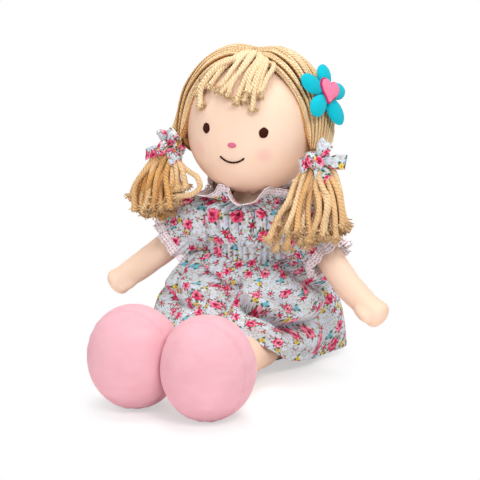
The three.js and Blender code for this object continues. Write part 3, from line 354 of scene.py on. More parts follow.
def net_lace():
    # Cotton net lace, machine made, pale pink: an open net between two cords, so that what lies behind it
    # shows through. The net's holes are 1 mm wide in the real lace and are drawn 1.9 mm apart to show.
    material, tree, shader = finish("cotton net lace, pale pink", Roughness=0.85, Sheen_Weight=0.1,
                                    Specular_IOR_Level=0.25)
    cloth = add(tree, "UVMap", uv_map="cloth")
    net = add(tree, "TexVoronoi", {"Vector": cloth, "Scale": 1 / 1.9, "Randomness": 0.35},
              feature="DISTANCE_TO_EDGE", voronoi_dimensions="2D")
    thread = add(tree, "MapRange", {"Value": net, "From Min": 0.3, "From Max": 0.2, "To Min": 0.1})
    up = add(tree, "SeparateXYZ", {0: cloth}).node.outputs[1]
    row = add(tree, "Math", {0: up, 1: TURN / 2.5, 2: 1.2}, operation="MULTIPLY_ADD")
    row = add(tree, "Math", {0: row}, operation="SINE")
    cord = add(tree, "MapRange", {"Value": row, "From Min": 0.45, "From Max": 0.75})
    solid = add(tree, "Math", {0: thread, 1: cord}, operation="MAXIMUM")
    colour = add(tree, "Mix", {0: cord, 6: linear("#f2e4ea"), 7: linear("#fdf6f9")}, 2, data_type="RGBA")
    tree.links.new(solid, shader.inputs["Alpha"])
    surface(tree, shader, colour, solid, 0.6, 0.3)
    return material


def velour():
    # Cotton velour, cut pile on a knit, dyed rose pink: deep and matt. Its brush marks, 10 to 30 mm long, are
    # painted sheen: paler where the pile leans to the light. Its tufts are drawn 0.9 mm apart to show.
    material, tree, shader = finish("cotton velour, rose pink", Roughness=0.95, Sheen_Weight=0.15,
                                    Sheen_Roughness=0.45, Specular_IOR_Level=0.15,
                                    Sheen_Tint=linear("#fbd9df"))
    spot = place_mm(tree)
    brushed = add(tree, "VectorMath", {0: spot, 1: (0.05, 0.05, 0.11)}, operation="MULTIPLY")
    # Painted sheen of the brush marks
    painted_nap_sheen = add(tree, "TexNoise", {"Vector": brushed, "Scale": 1.0, "Detail": 3.0, "Distortion": 0.6})
    colour = add(tree, "Mix", {0: painted_nap_sheen, 6: linear("#dfa3ad"), 7: linear("#ecbac2")}, 2, data_type="RGBA")
    tufts = add(tree, "TexNoise", {"Vector": spot, "Scale": 1.5, "Detail": 5.0, "Roughness": 0.7})
    surface(tree, shader, colour, tufts, 0.3, 0.3)
    return material


def felt(name, low, high):
    # Wool felt, pressed: thick and matt with short fibres lying every way, 2 to 6 mm long.
    material, tree, shader = finish(name, Roughness=0.96, Sheen_Weight=0.1, Sheen_Roughness=0.5,
                                    Specular_IOR_Level=0.15)
    fibres = add(tree, "TexNoise", {"Vector": place_mm(tree), "Scale": 0.5, "Detail": 6.0, "Roughness": 0.8,
                                    "Distortion": 1.5})
    colour = add(tree, "Mix", {0: fibres, 6: linear(low), 7: linear(high)}, 2, data_type="RGBA")
    surface(tree, shader, colour, fibres, 0.5, 0.4)
    return material


def satin_stitch(name, low, high):
    # Rayon embroidery thread, sewn in satin stitch: threads side by side with a silky gloss across them.
    # The threads are 0.4 mm apart in the real stitch and are drawn 0.7 mm apart to show.
    material, tree, shader = finish(name, Roughness=0.65, Specular_IOR_Level=0.12)
    threads = add(tree, "TexWave", {"Vector": place_mm(tree), "Scale": 0.45, "Distortion": 0.8,
                                    "Detail": 1.0}, 1, bands_direction="X")
    colour = add(tree, "Mix", {0: threads, 6: linear(low), 7: linear(high)}, 2, data_type="RGBA")
    surface(tree, shader, colour, threads, 0.7, 0.3)
    return material


def fibre_filling():
    # Polyester fibre, carded: loose white wadding with soft hollows a few millimetres wide.
    material, tree, shader = finish("polyester fibre filling, carded", Roughness=1.0, Sheen_Weight=0.3)
    wad = add(tree, "TexNoise", {"Vector": place_mm(tree), "Scale": 0.3, "Detail": 6.0, "Distortion": 1.0})
    colour = add(tree, "Mix", {0: wad, 6: linear("#dedbd2"), 7: linear("#f7f5f0")}, 2, data_type="RGBA")
    surface(tree, shader, colour, wad, 0.6, 1.0)
    return material


def calico_pouch():
    # Unbleached calico over grain: plain woven and matt, with the grains' bumps 3.5 mm apart under it.
    material, tree, shader = finish("unbleached calico over grain", Roughness=0.9)
    spot = place_mm(tree)
    grains = add(tree, "TexVoronoi", {"Vector": spot, "Scale": 1 / 3.5})
    slubs = add(tree, "TexNoise", {"Vector": spot, "Scale": 1.2, "Detail": 3.0})
    colour = add(tree, "Mix", {0: slubs, 6: linear("#cdbf9f"), 7: linear("#e2d8bf")}, 2, data_type="RGBA")
    surface(tree, shader, colour, grains, 0.5, 1.0)
    return material


SKIN = jersey("cotton jersey, interlock, peach")
FACE = jersey("cotton jersey, interlock, peach, rouged", blush=True)
YARN = plied_yarn()
PRINT = printed_cotton()
LACE = net_lace()
VELOUR = velour()
TURQUOISE = felt("wool felt, turquoise", "#00a3b6", "#0ccbdc")
PINK_FELT = felt("wool felt, pink", "#ee6e93", "#f990ae")
EDGING = felt("wool felt, magenta", "#b01f5c", "#cf3a78")
DARK_THREAD = satin_stitch("rayon thread, satin stitched, brown", "#2c0c04", "#45180a")
PINK_THREAD = satin_stitch("rayon thread, satin stitched, pink", "#d75f85", "#ef8aa8")
FILLING = fibre_filling()
POUCH = calico_pouch()


# Making pieces

def woven(place, around, along, cloth=None, ring=True):
    """A grid of points from place(u, t), its faces, and their corners' places on the flat cloth."""
    columns = around if ring else around + 1
    points = [place(i / around, j / along) for j in range(along + 1) for i in range(columns)]
    faces, corners = [], []
    for j in range(along):
        for i in range(around):
            square = ((i, j), (i + 1, j), (i + 1, j + 1), (i, j + 1))
            faces.append([b * columns + a % columns for a, b in square])
            if cloth:
                corners.append([cloth(a / around, b / along) for a, b in square])
    return points, faces, corners


def joined(shapes):
    """Several shapes as one."""
    points, faces, corners = [], [], []
    for more_points, more_faces, more_corners in shapes:
        faces += [[corner + len(points) for corner in face] for face in more_faces]
        points += more_points
        corners += more_corners
    return points, faces, corners


def put(name, data):
    """An object of its data, put in the scene."""
    thing = bpy.data.objects.new(name, data)
    bpy.context.scene.collection.objects.link(thing)
    return thing


def shaped(piece, *modifiers):
    """Puts modifiers on a piece and makes their result its mesh."""
    for kind, settings in modifiers:
        modifier = piece.modifiers.new(kind.lower(), kind)
        for name, value in settings.items():
            setattr(modifier, name, value)
    result = bpy.data.meshes.new_from_object(piece.evaluated_get(bpy.context.evaluated_depsgraph_get()))
    piece.modifiers.clear()
    piece.data = result


def make(name, shape, material, thick=0.0, crease=50, join=True):
    """A piece from points, faces and corners; thick gives a sheet its thickness in millimetres."""
    points, faces, corners = shape
    mesh = bpy.data.meshes.new(name)
    mesh.from_pydata([point * MM for point in points], [], faces)
    if corners:
        layer = mesh.uv_layers.new(name="cloth")
        for spot, corner in zip(layer.data, (corner for face in corners for corner in face)):
            spot.uv = corner
    mesh.materials.append(material)
    tidy(mesh, join)
    piece = put(name, mesh)
    if thick:
        shaped(piece, ("SOLIDIFY", {"thickness": thick * MM, "offset": -1.0}))
    piece.data.shade_smooth()
    piece.data.set_sharp_from_angle(angle=math.radians(crease))
    return piece


def tidy(mesh, join):
    """Turns the faces outward; join also makes points that meet one."""
    touching, no_length = 2e-6, 1e-7
    work = bmesh.new()
    work.from_mesh(mesh)
    if join:
        bmesh.ops.remove_doubles(work, verts=work.verts, dist=touching)
        bmesh.ops.dissolve_degenerate(work, edges=work.edges, dist=no_length)
    bmesh.ops.recalc_face_normals(work, faces=work.faces)
    work.to_mesh(mesh)
    work.free()


def sewn(piece, body, slot, *nodes):
    """The piece moves with a body and stands for solids; slot is not used."""
    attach(piece, body)
    if nodes:
        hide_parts(*nodes)


class Yarn:
    """Strands of yarn gathered into one piece"""

    def __init__(self):
        self.points, self.faces, self.corners, self.tints_and_painted_light = [], [], [], []

    def strand(self, path, radius, tint_and_painted_light, sides=8, middle=None, crown=0.0):
        """One strand along a path of points; radius(t) is its half thickness. With a middle, that of the head
        it lies on, its flanks get painted shade, least at the crown, where a painted highlight makes the yarn
        crown paler."""
        first, last = len(self.points), len(path) - 1
        side = (path[1] - path[0]).orthogonal()
        run, rows = chance.uniform(0, 4), []
        for k, point in enumerate(path):
            ahead = (path[min(k + 1, last)] - path[max(k - 1, 0)]).normalized()
            side = (side - ahead * side.dot(ahead)).normalized()
            other = ahead.cross(side)
            half = radius(k / last)
            if k:
                run += (point - path[k - 1]).length
            rows.append(run)
            # top: how near the crown it is, where the painted highlight is strongest and the painted shade
            # lightest
            top = smooth(0.45, 0.02, k / last) if middle else 0
            for s in range(sides):
                angle = TURN * s / sides
                way = side * math.cos(angle) + other * math.sin(angle)
                self.points.append(point + way * half)
                # Painted shade where it faces its neighbours or the head, none where it faces outward
                painted_flank_shade = 1 - smooth(-0.1, 0.75, way.dot((point - middle).normalized())) if middle else 0
                self.tints_and_painted_light.append(tint_and_painted_light + crown * top - mix(1.5, 0.75, top) * painted_flank_shade)
        for k in range(last):
            for s in range(sides):
                a, b, after = first + k * sides, first + (k + 1) * sides, (s + 1) % sides
                left, right = s / sides, (s + 1) / sides
                low, high = rows[k], rows[k + 1]
                self.faces.append([a + s, a + after, b + after, b + s])
                self.corners.append([(left, low), (right, low), (right, high), (left, high)])
        for start, row in ((first, rows[0]), (first + last * sides, rows[-1])):
            self.faces.append([start + s for s in range(sides)])
            self.corners.append([(s / sides, row) for s in range(sides)])

    def cut_end(self, path, tint_and_painted_light, half):
        """The frayed fibres of a strand's cut end, each 1.7 to 3.3 mm longer than the yarn is thick"""
        end = path[-1]
        ahead = (end - path[-2]).normalized()
        for _ in range(FRAYED_FIBRES):
            way = (ahead + Vector([chance.uniform(-1, 1) for _ in range(3)])).normalized()
            reach = chance.uniform(1.7, 3.3) + half
            bend = Vector([chance.uniform(-1, 1) for _ in range(3)]) * 0.8
            root = end - ahead * half * 1.2 + (way - ahead) * half * 0.8
            fibre = [root, root + way * reach * 0.5 + bend * 0.3, root + way * reach * 0.85 + bend]
            self.strand(fibre, lambda t: mix(0.28, 0.2, t) * (half + 0.3), 1.1 + 0.1 * tint_and_painted_light, 3)

    def finished(self, name):
        """One piece of all strands, with the tint and the painted light and shade of each"""
        piece = make(name, (self.points, self.faces, self.corners), YARN, crease=60, join=False)
        tints_and_painted_light = piece.data.attributes.new("tint_and_painted_light", "FLOAT", "POINT")
        tints_and_painted_light.data.foreach_set("value", self.tints_and_painted_light)
        return piece


# The stand: camera, floor, light

def stand_camera():
    azimuth, elevation, distance = math.radians(22.5), math.radians(17), 1.6
    back = Vector((
        math.sin(azimuth) * math.cos(elevation),
        -math.cos(azimuth) * math.cos(elevation),
        math.sin(elevation),
    ))
    right = Vector((math.cos(azimuth), math.sin(azimuth), 0))
    aside, above = -0.0103, 0.0786
    camera = put("camera", bpy.data.cameras.new("camera"))
    camera.data.lens = 174
    camera.data.clip_start = 0.05
    camera.location = back * distance
    aim = right * aside + back.cross(right) * above
    camera.rotation_euler = (aim - camera.location).to_track_quat("-Z", "Y").to_euler()
    bpy.context.scene.camera = camera


def light_up():
    chest, room_light = Vector((0, -0.03, 0.09)), 0.35
    for name, place, size, power in (
        ("window_lamp", Vector((0.75, -0.85, 1.18)), 0.55, 10.6),
        ("top_lamp", Vector((0.05, 0.1, 1.5)), 0.7, 13.8),
        ("left_lamp", Vector((-0.6, -1.3, 0.4)), 1.0, 4.6),
    ):
        lamp = put(name, bpy.data.lights.new(name, "AREA"))
        lamp.data.size = size
        lamp.data.energy = power
        lamp.location = place
        lamp.rotation_euler = (chest - place).to_track_quat("-Z", "Y").to_euler()
    world = bpy.data.worlds.new("white room")
    bpy.context.scene.world = world
    world.use_nodes = True
    tree = world.node_tree
    seen = add(tree, "LightPath").node.outputs
    shown = add(tree, "Math", {0: seen["Is Camera Ray"], 1: seen["Is Glossy Ray"]}, operation="MAXIMUM")
    shown = add(tree, "Math", {0: shown, 1: seen["Is Transmission Ray"]}, operation="MAXIMUM")
    level = add(tree, "MapRange", {"Value": shown, "To Min": room_light, "To Max": 1.0})
    background = tree.nodes["Background"]
    background.inputs["Color"].default_value = (1, 1, 1, 1)
    tree.links.new(level, background.inputs["Strength"])


def lay_floor():
    # Matt white paper: it keeps the doll's shadow close by and runs out to the white of the room.
    material, tree, shader = finish("matt white paper", Roughness=0.9, Specular_IOR_Level=0.0,
                                    Base_Color=linear("#fdfafb"))
    # The paper shows as itself in an oval round the doll, and outside it fades to plain white
    spot = add(tree, "TexCoord", output="Object")
    around = add(tree, "VectorMath", {0: spot, 1: (14, 8.3, 0), 2: (0, 0.5, 0)}, operation="MULTIPLY_ADD")
    far = add(tree, "VectorMath", {0: around}, "Value", operation="LENGTH")
    away = add(tree, "MapRange", {"Value": far, "From Min": 0.72, "From Max": 1.25, "To Min": 0.5},
               interpolation_type="SMOOTHSTEP")
    seen = add(tree, "LightPath").node.outputs
    shown = add(tree, "Math", {0: away, 1: seen["Is Camera Ray"]}, operation="MULTIPLY")
    white = add(tree, "Emission", {"Strength": 1.0})
    both = add(tree, "MixShader", {0: shown, 1: shader.outputs[0], 2: white})
    tree.links.new(both, tree.nodes["Material Output"].inputs["Surface"])

    def place(u, t):
        reach, below = 1800 * t, 0.15
        return Vector((reach * math.sin(TURN * u), -reach * math.cos(TURN * u), -below))

    floor = make("floor", woven(place, 48, 6), material)


def evenly(ring, count=400):
    """Turns a share of a ring's length into the ring's own measure round it."""
    lengths = [0.0]
    for k in range(count):
        lengths.append(lengths[-1] + (ring((k + 1) / count) - ring(k / count)).length)

    def at(share):
        goal = share % 1 * lengths[-1]
        k = min(bisect.bisect_right(lengths, goal), count) - 1
        return (k + (goal - lengths[k]) / (lengths[k + 1] - lengths[k])) / count

    return at


# Pleats lie evenly round the yoke, measured halfway up it
YOKE_ROUND = evenly(lambda u: oval(u, 32.8, 26.5, 95, 2.9))


# Head, face and neck

def make_head():
    """A stuffed head: a little uneven, and gathered where it is sewn to the neck"""
    def place(u, v):
        way = Vector((
            math.sin(TURN * u) * math.sin(math.pi * v),
            -math.cos(TURN * u) * math.sin(math.pi * v),
            -math.cos(math.pi * v),
        ))
        soft = 0.35 * noise.noise(way * 2.2)
        gathers = 0.5 * smooth(-0.86, -0.97, way.z) * math.sin(TURN * 16 * u)
        return head_point(way, soft + gathers - 0.1)

    head = make("head", woven(place, 96, 56), FACE)
    sewn(head, "head", "skin_jersey", "head_cover")


def stitched_oval(name, x, z, width, tall, height, material, node):
    """An oval of satin stitch, domed on the face, whose rim goes down into the cover"""
    def place(u, t):
        rim, sunk = 0.88, 0.5
        reach = math.sin(min(1, t * 1.12) * math.pi / 2)
        rise = height * math.sqrt(max(0, 1 - reach ** 2)) if t < rim else -sunk * (t - rim) / (1 - rim)
        rough = 1 + 0.03 * math.sin(TURN * 5 * u + x)
        return on_face(
            x + width / 2 * reach * rough * math.sin(TURN * u),
            z + tall / 2 * reach * rough * math.cos(TURN * u),
            0.25 + rise,
        )

    patch = make(name, woven(place, 32, 12), material)
    sewn(patch, "head", "dark_thread" if material is DARK_THREAD else "pink_thread", node)


def make_face():
    for side, sign in SIDES.items():
        stitched_oval(f"eye_stitching_{side}", sign * 20.5, 163.5, 5.7, 6.9, 1.0, DARK_THREAD, f"eye_{side}")
    stitched_oval("nose_stitching", 0, 154.5, 6.2, 3.4, 0.9, PINK_THREAD, "nose")

    # The mouth is a line of stem stitch, each stitch starting beside the last.
    width, sag, low, thick, count, sides = 17, 3.5, 142.8, 1.32, 8, 8
    radius = (width ** 2 / 4 + sag ** 2) / (2 * sag)
    reach = math.asin(width / 2 / radius)
    stitches = []
    for k in range(count):
        start, end = (mix(-reach, reach, (k + off) / count) for off in (-0.12, 1.12))

        def stitch(u, t):
            angle = mix(start, end, t)
            out_by = radius + mix(-0.12, 0.12, t)
            x, z = out_by * math.sin(angle), low + radius - out_by * math.cos(angle)
            thread = thick / 2 * math.sqrt(max(0.02, 1 - (2 * t - 1) ** 4))
            out = (on_face(x, z, 1) - on_face(x, z, 0)).normalized()
            beside = Vector((math.cos(angle), 0, math.sin(angle))).cross(out).normalized()
            return on_face(x, z, 0.4) + (beside * math.cos(TURN * u) + out * math.sin(TURN * u)) * thread

        points, faces, corners = woven(stitch, sides, 8)
        faces += [list(range(sides)), list(range(len(points) - sides, len(points)))]
        stitches.append((points, faces, corners))
    mouth = make("mouth_stitching", joined(stitches), DARK_THREAD)
    sewn(mouth, "head", "dark_thread", "mouth")


def make_neck():
    """A short neck with soft folds round it, flaring where it comes out of the collar"""
    low, high, throat = 106.5, 122, 11.5

    def place(u, t):
        fold = 0.35 * math.sin(TURN * 9 * u + 3 * t) * math.sin(math.pi * t)
        half = throat + 1.6 * abs(2 * t - 1) ** 3 + 6.5 * (1 - t) ** 2.4 + fold
        return oval(u, half, half, mix(low, high, t))

    neck = make("neck_cover", woven(place, 48, 10), SKIN, thick=1.0)
    sewn(neck, "head", "skin_jersey", "neck")


# Hair

# Where a pigtail hinges on the head, where it is tied, what its tie and bow hang towards, and its lowest tips
PIVOTS = {"left": Vector((51.81, -16.34, 150.58)), "right": Vector((-50.08, -16.84, 150.32))}
TIES = {"left": Vector((52.3, -18.5, 145)), "right": Vector((-52.3, -18.5, 145))}
ENDS = {"left": Vector((57, -39, 92)), "right": Vector((-69, -31, 105))}
TAIL_ENDS = {"left": Vector((57, -39, 91)), "right": Vector((-60.5, -33, 95))}
PARTING = (-0.2, 2.15)  # from the hairline over the crown to the nape, in radians from straight up
STRANDS = 42  # on each side of the parting
YARN_HALF = 1.17  # half the yarn's thickness where it is drawn tight on the head
FRINGE_HALF = 1.8  # in the fringe
LOOSE_HALF = 1.9  # and hanging free
HAIR_STEPS = 34  # along a strand from the parting to the tie
FRAYED_FIBRES = 26  # at each cut end


def combed(side, share, lift, q, ring):
    """A place on the hair: share runs along the parting to the nape, q from the parting to the tie."""
    sign = SIDES[side]
    turn = mix(*PARTING, share)
    start = Vector((sign * 0.03, math.sin(turn), math.cos(turn)))
    tie_way = Vector((sign * 0.938, -0.288, -0.193)).normalized()
    way = start.slerp(tie_way, q * 0.985)
    sunk, fuller = 1.9 * (1 - smooth(0, 0.16, q)), 1.9 * smooth(0, 0.2, q) * smooth(0.62, 0.25, q)
    round_tie = math.pi * mix(-0.2, 1.2, share)
    away = (ENDS[side] - TIES[side]).normalized()
    front = (Vector((0, -1, 0)) + away * away.y).normalized()
    outer = away.cross(front)
    if outer.x * sign < 0:
        outer = -outer
    end = PIVOTS[side] + (front * math.cos(round_tie) + outer * math.sin(round_tie)) * ring
    return head_point(way, lift - sunk + fuller).lerp(end, smooth(0.6, 1, q))


def make_hair():
    for side in SIDES:
        # The lower layer of yarn, seen only between the strands of the upper one
        def under(u, t):
            rib = 0.5 * math.cos(TURN * STRANDS * u)
            return combed(side, mix(0.03, 1, u), 4.0 + rib - 3.2 * smooth(0.25, 0.8, t), 0.01 + 0.93 * t, 2.0)

        base = make(f"hair_under_{side}", woven(under, 4 * STRANDS, 26,
                    lambda u, t: (u * STRANDS, 90 * t), ring=False), YARN, thick=4.0)
        sewn(base, "head", "yarn")
        wig = Yarn()
        for k in range(STRANDS):
            share = (k + 0.5) / STRANDS
            stray = [chance.uniform(-0.35, 0.35) for _ in range(3)]
            layer = (0, 2, 1)[k % 3]  # how deep it lies towards the tie, where there is less room

            def at(q):
                lift = 8.1 + stray[0] * 0.6 - layer * 1.7 * smooth(0.22, 0.8, q)
                lift -= 2.4 * smooth(0.09, 0, share)
                wander = 0.005 * math.sin(3 * math.pi * q + 9 * stray[1])
                return combed(side, share + wander + 0.006 * stray[2], lift, q, 5.4 - 1.6 * layer)

            # The strands get painted shade on their flanks and, by crown, a painted highlight near the
            # parting
            wig.strand([at(j / HAIR_STEPS) for j in range(HAIR_STEPS + 1)],
                       lambda t: YARN_HALF * mix(1, 0.9, smooth(0.6, 1, t)), 0.72 + 0.6 * stray[1],
                       middle=Vector((0, 0, HEAD_MIDDLE)), crown=0.6)
        # Two strands along the hairline cover the edge of the lower layer
        for before, lift, ring in ((-0.012, 1.5, 4.4), (-0.01, 3.5, 5.0)):
            wig.strand([combed(side, before, lift, j / HAIR_STEPS, ring) for j in range(HAIR_STEPS + 1)],
                       lambda t: YARN_HALF, 0.7)
        sewn(wig.finished(f"hair_strands_{side}"), "head", "yarn", f"hair_{side}")


def make_parting():
    """Back stitches that hold the yarn down along the parting"""
    line = Yarn()
    count, thread_half = 26, 0.6
    for k in range(count):
        turn, after = (mix(-0.17, 2.1, (k + off) / count) for off in (0.06, 0.86))
        turns = (turn, (turn + after) / 2, after)
        ways = [Vector((0.01 * (-1) ** k, math.sin(a), math.cos(a))) for a in turns]
        stitch = [head_point(way, lift) for way, lift in zip(ways, (5.2, 6.7, 5.2))]
        line.strand(traced(stitch, 6), lambda t: thread_half, 0.55, 6)
    sewn(line.finished("parting_stitches"), "head", "yarn", "parting_seam")


# The fringe's strands, each by its x and z on the front of the head, from under the hair to the cut end
FRINGE = (
    ((-9, 208), (-21, 200.5), (-28, 191.5), (-31.5, 183)),
    ((-6.6, 208.6), (-18.8, 201.4), (-24.6, 193.8), (-27.8, 185.8), (-26, 176)),
    ((-7.5, 208.4), (-18.5, 203.5), (-25.5, 196.5), (-31, 187.5)),
    ((-5.6, 208.8), (-14, 206), (-19.5, 202), (-23.5, 197.6), (-29.5, 191)),
    ((-4.4, 208), (-11.5, 205.2), (-15.3, 201.2), (-18, 196.8), (-22.5, 188.5)),
    ((-2.8, 209.2), (-6, 202), (-9, 195.6), (-14.5, 188)),
    ((1.6, 208.4), (-0.8, 200), (-3.8, 192.8), (-5, 185.5)),
    ((3.6, 209.5), (1.2, 202.8), (-2.2, 197.6), (-6.6, 192.4), (-10.5, 187.5)),
    ((8.4, 207.6), (5.2, 200.4), (4.4, 195.6), (3, 189.6), (1.8, 181.5)),
    ((10, 206.4), (8.2, 198), (7.8, 192.4), (7, 183.5)),
    ((10.4, 208), (11, 202), (11.2, 196.4), (10.2, 192.4), (8.2, 187)),
    ((13.2, 206.4), (13.2, 194.8), (13.2, 185.6), (13, 178)),
    ((14.8, 206.4), (14.8, 198.8), (14.8, 194.8), (14.6, 188)),
    ((20, 204.4), (18.8, 197.6), (18, 193.2), (15.8, 186.5)),
)


def make_fringe():
    """Short strands over the forehead, every other one lying on its neighbours"""
    fringe = Yarn()
    for number, lock in enumerate(FRINGE):
        tint_and_painted_light = 0.85 + chance.uniform(-0.12, 0.15)
        raised = 1.1 * (number % 2)
        root = Vector((lock[0][0] * 0.62, -5.5, 211.2 - 0.012 * lock[0][0] ** 2))
        last = len(lock) - 2
        lifts = [6.2] + [mix(4.4, 2.6, k / last) + raised * (1 - k / last) for k in range(last + 1)]
        path = traced([root] + [on_face(x, z, lift) for (x, z), lift in zip(lock, lifts)], 26)
        fringe.strand(path, lambda t: FRINGE_HALF * (1 + 0.25 * smooth(0.88, 1, t)), tint_and_painted_light)
        fringe.cut_end(path, tint_and_painted_light, FRINGE_HALF)
    sewn(fringe.finished("fringe_strands"), "head", "yarn", "hair_fringe")


# How long a pigtail's strands are, as shares of the longest: on the side of the neck, in the middle, outside
LENGTHS = {"left": (1.02, 1.0, 0.84), "right": (0.8, 1.0, 0.9)}
SPREAD = {"left": 30.0, "right": 23.0}  # to each side at the lowest tips
# The right pigtail's deeper value is painted shade
TAIL_TINT_AND_SHADE = {"left": 0.45, "right": 0.15}  # 0 is the yarn's deepest honey, 1 its palest


def make_pigtail(side):
    """Strands fanning out from the tie, spread evenly over a bundle that grows wider and thicker"""
    sign, tie, ends, pivot = SIDES[side], TIES[side], TAIL_ENDS[side], PIVOTS[side]
    away = (ends - tie).normalized()
    spine = [pivot, tie, tie.lerp(ends, 0.45) + Vector((sign * 2, -2.5, 1)), ends]
    across = Vector((sign * 0.88, 0.4, 0.22)).normalized()
    near, half_way, far = LENGTHS[side]
    tail = Yarn()
    count, golden_share, tied_half, deep_half, waver = 34, 0.381966, 3.6, 8.8, 9.5
    for k in range(count):
        angle = TURN * (k * golden_share)
        reach = math.sqrt((k + 0.6) / count)
        a, b = reach * math.cos(angle), reach * math.sin(angle)
        long = mix(half_way, far, a) if a > 0 else mix(half_way, near, -a)
        long -= chance.uniform(0, 0.1)
        shade = [chance.uniform(-1, 1) for _ in range(4)][0]  # the first of four draws

        def at(t):
            v = t * long
            ahead = heading(spine, v)
            through = ahead.cross(across).normalized()
            wide = through.cross(ahead)
            fall = smooth(0.16, 1.0, v)
            half, deep = mix(tied_half, SPREAD[side], fall), mix(tied_half, deep_half, smooth(0.15, 0.8, v))
            point = on_curve(spine, v) + wide * half * a + through * deep * b
            stir = Vector([noise.noise(Vector((k * 3.1 + n * 7, v * 3.4, n))) for n in range(3)])
            return point + stir * waver * fall

        hang(tail, [at(j / 28) for j in range(29)], min(1, max(0, TAIL_TINT_AND_SHADE[side] + 0.3 * shade)))
    if side == "right":
        # Three strands hang towards the neck, and one long one loops in front of the collar and back.
        for end in ((-42, -34, 118.9), (-34.5, -36, 121), (-47, -35, 111)):
            bend = [pivot, tie + away * 2, tie.lerp(Vector(end), 0.55) + Vector((3, -5, 3)), Vector(end)]
            hang(tail, traced(bend, 26), chance.uniform(0.3, 0.7))
        bend = [pivot, tie + away * 2] + [Vector(at) for at in (
            (-45.9, -26, 138.8), (-40.2, -29, 134.4), (-32.1, -34, 132), (-26, -38, 130.4), (-23, -40, 124.6),
            (-27.7, -40, 119.5), (-34.9, -38, 117), (-42.6, -35, 115.1),
        )]
        hang(tail, traced(bend, 50), 0.5)
    sewn(tail.finished(f"pigtail_strands_{side}"), BODY[side]["pigtail"], "yarn", f"pigtail_{side}")


def hang(tail, path, tint_and_painted_light):
    """A loose strand, squeezed in the tie and frayed at its cut end"""
    def half(t):
        return LOOSE_HALF * mix(0.62, 1, smooth(0, 0.22, t)) * (1 + 0.2 * smooth(0.9, 1, t))

    tail.strand(path, half, tint_and_painted_light)
    tail.cut_end(path, tint_and_painted_light, LOOSE_HALF)


# Each bow: the way it faces, and its loops, tail and knot, each turned how many degrees up from the doll's
# left, how long and how wide, and how far the knot sits aside
BOWS = {
    "left": {"ahead": Vector((0.45, -0.85, 0.1)), "loops": ((56, 14.5, 9.5), (-3, 20, 9.5), (196, 9.5, 9)),
             "tail": (-60, 21, 10.5), "knot": (-38, 6.8, 4.9), "aside": 3.2},
    "right": {"ahead": Vector((-0.18, -0.95, 0.1)), "loops": ((100, 11, 8), (58, 13, 8), (-36, 13.5, 8.5)),
              "tail": (203, 16, 7.5), "knot": (75, 5.6, 4.0), "aside": 0.5},
}


def make_bow(side):
    """A strip of the dress cloth wrapped round the yarn and tied in front in loops and a tail"""
    tie, body, bow = TIES[side], BODY[side]["pigtail"], BOWS[side]
    away = (ENDS[side] - tie).normalized()
    ahead = bow["ahead"].normalized()
    right = UP.cross(ahead).normalized()
    up = ahead.cross(right).normalized()
    before_tie = 9.2
    heart = tie + ahead * before_tie - right * bow["aside"]
    first = (Vector((0, -1, 0)) + away * away.y).normalized()
    other = away.cross(first)

    def turned(degrees):
        """The way turned up from the doll's left, and the way across it"""
        angle = math.radians(degrees)
        along = right * math.cos(angle) + up * math.sin(angle)
        return along, ahead.cross(along)

    def band(u, t):
        crease = 0.35 * math.sin(TURN * 7 * u + 5 * t) + 0.3 * math.sin(TURN * 3 * t + 4 * u)
        half = 7.6 + 0.9 * math.sin(math.pi * t) + crease * 0.6
        above, below, angle = -4.2, 4.6, TURN * u
        return tie + away * mix(above, below, t) + (first * math.cos(angle) + other * math.sin(angle)) * half

    wrap = make(f"bow_wrap_{side}", woven(band, 56, 10, lambda u, t: (u * 52 + 17, t * 9 + 60)), PRINT, 0.6)
    sewn(wrap, body, "print_cotton", f"hair_tie_{side}")

    strips = []
    for turn, reach, wide in bow["loops"]:
        along, width = turned(turn)

        def loop(u, t):
            out = math.sin(math.pi * t) ** 0.75
            spread = 3.1 * math.sin(TURN * t) * (0.35 + 0.65 * out)
            breadth = mix(2.6, wide, smooth(0, 0.75, out)) * (u - 0.5)
            crumple = 0.7 * (1 - out) * math.sin(TURN * 2 * u) + 0.35 * math.sin(5 * t + 4 * u)
            tip = 1.4 * (u - 0.5) * out
            lift = spread + crumple - 0.4
            return heart + along * (1 + reach * out + tip) + ahead * lift + width * breadth

        strips.append(woven(loop, 14, 36, lambda u, t: (9 * u + reach, 34 * t + turn), ring=False))
    turn, reach, wide = bow["tail"]
    along, width = turned(turn)

    def tail(u, t):
        breadth = mix(3.2, wide, smooth(0, 0.5, t)) * (u - 0.5)
        slant = 3.0 * (u - 0.5) * t
        lift = 1.8 * math.sin(math.pi * 0.9 * t) + 0.9 * math.sin(TURN * u + 2 * t) * mix(1, 0.4, t)
        return heart + along * (reach * t + slant) + ahead * (lift + 0.4) + width * breadth

    strips.append(woven(tail, 12, 22, lambda u, t: (9 * u + turn, 20 * t + reach), ring=False))
    tied = make(f"bow_loops_{side}", joined(strips), PRINT, 0.55)
    sewn(tied, body, "print_cotton", f"bow_{side}")

    turn, long, short = bow["knot"]
    strap, over = turned(turn)

    def knot(u, v):
        around, level = TURN * u, math.pi * v
        out = math.sin(level)
        pleat = 0.35 * math.sin(5.5 * out * math.sin(around)) * out
        end = 1 + 0.12 * math.cos(2 * around) * math.sin(around)
        return (heart + strap * long * end * out * math.cos(around) + over * short * out * math.sin(around)
                + ahead * (2.6 + 3.0 * math.cos(level) + pleat))

    knotted = make(f"bow_tied_{side}", woven(knot, 36, 18, lambda u, t: (u * 24 + 80, t * 12 + 20)), PRINT)
    sewn(knotted, body, "print_cotton", f"bow_knot_{side}")


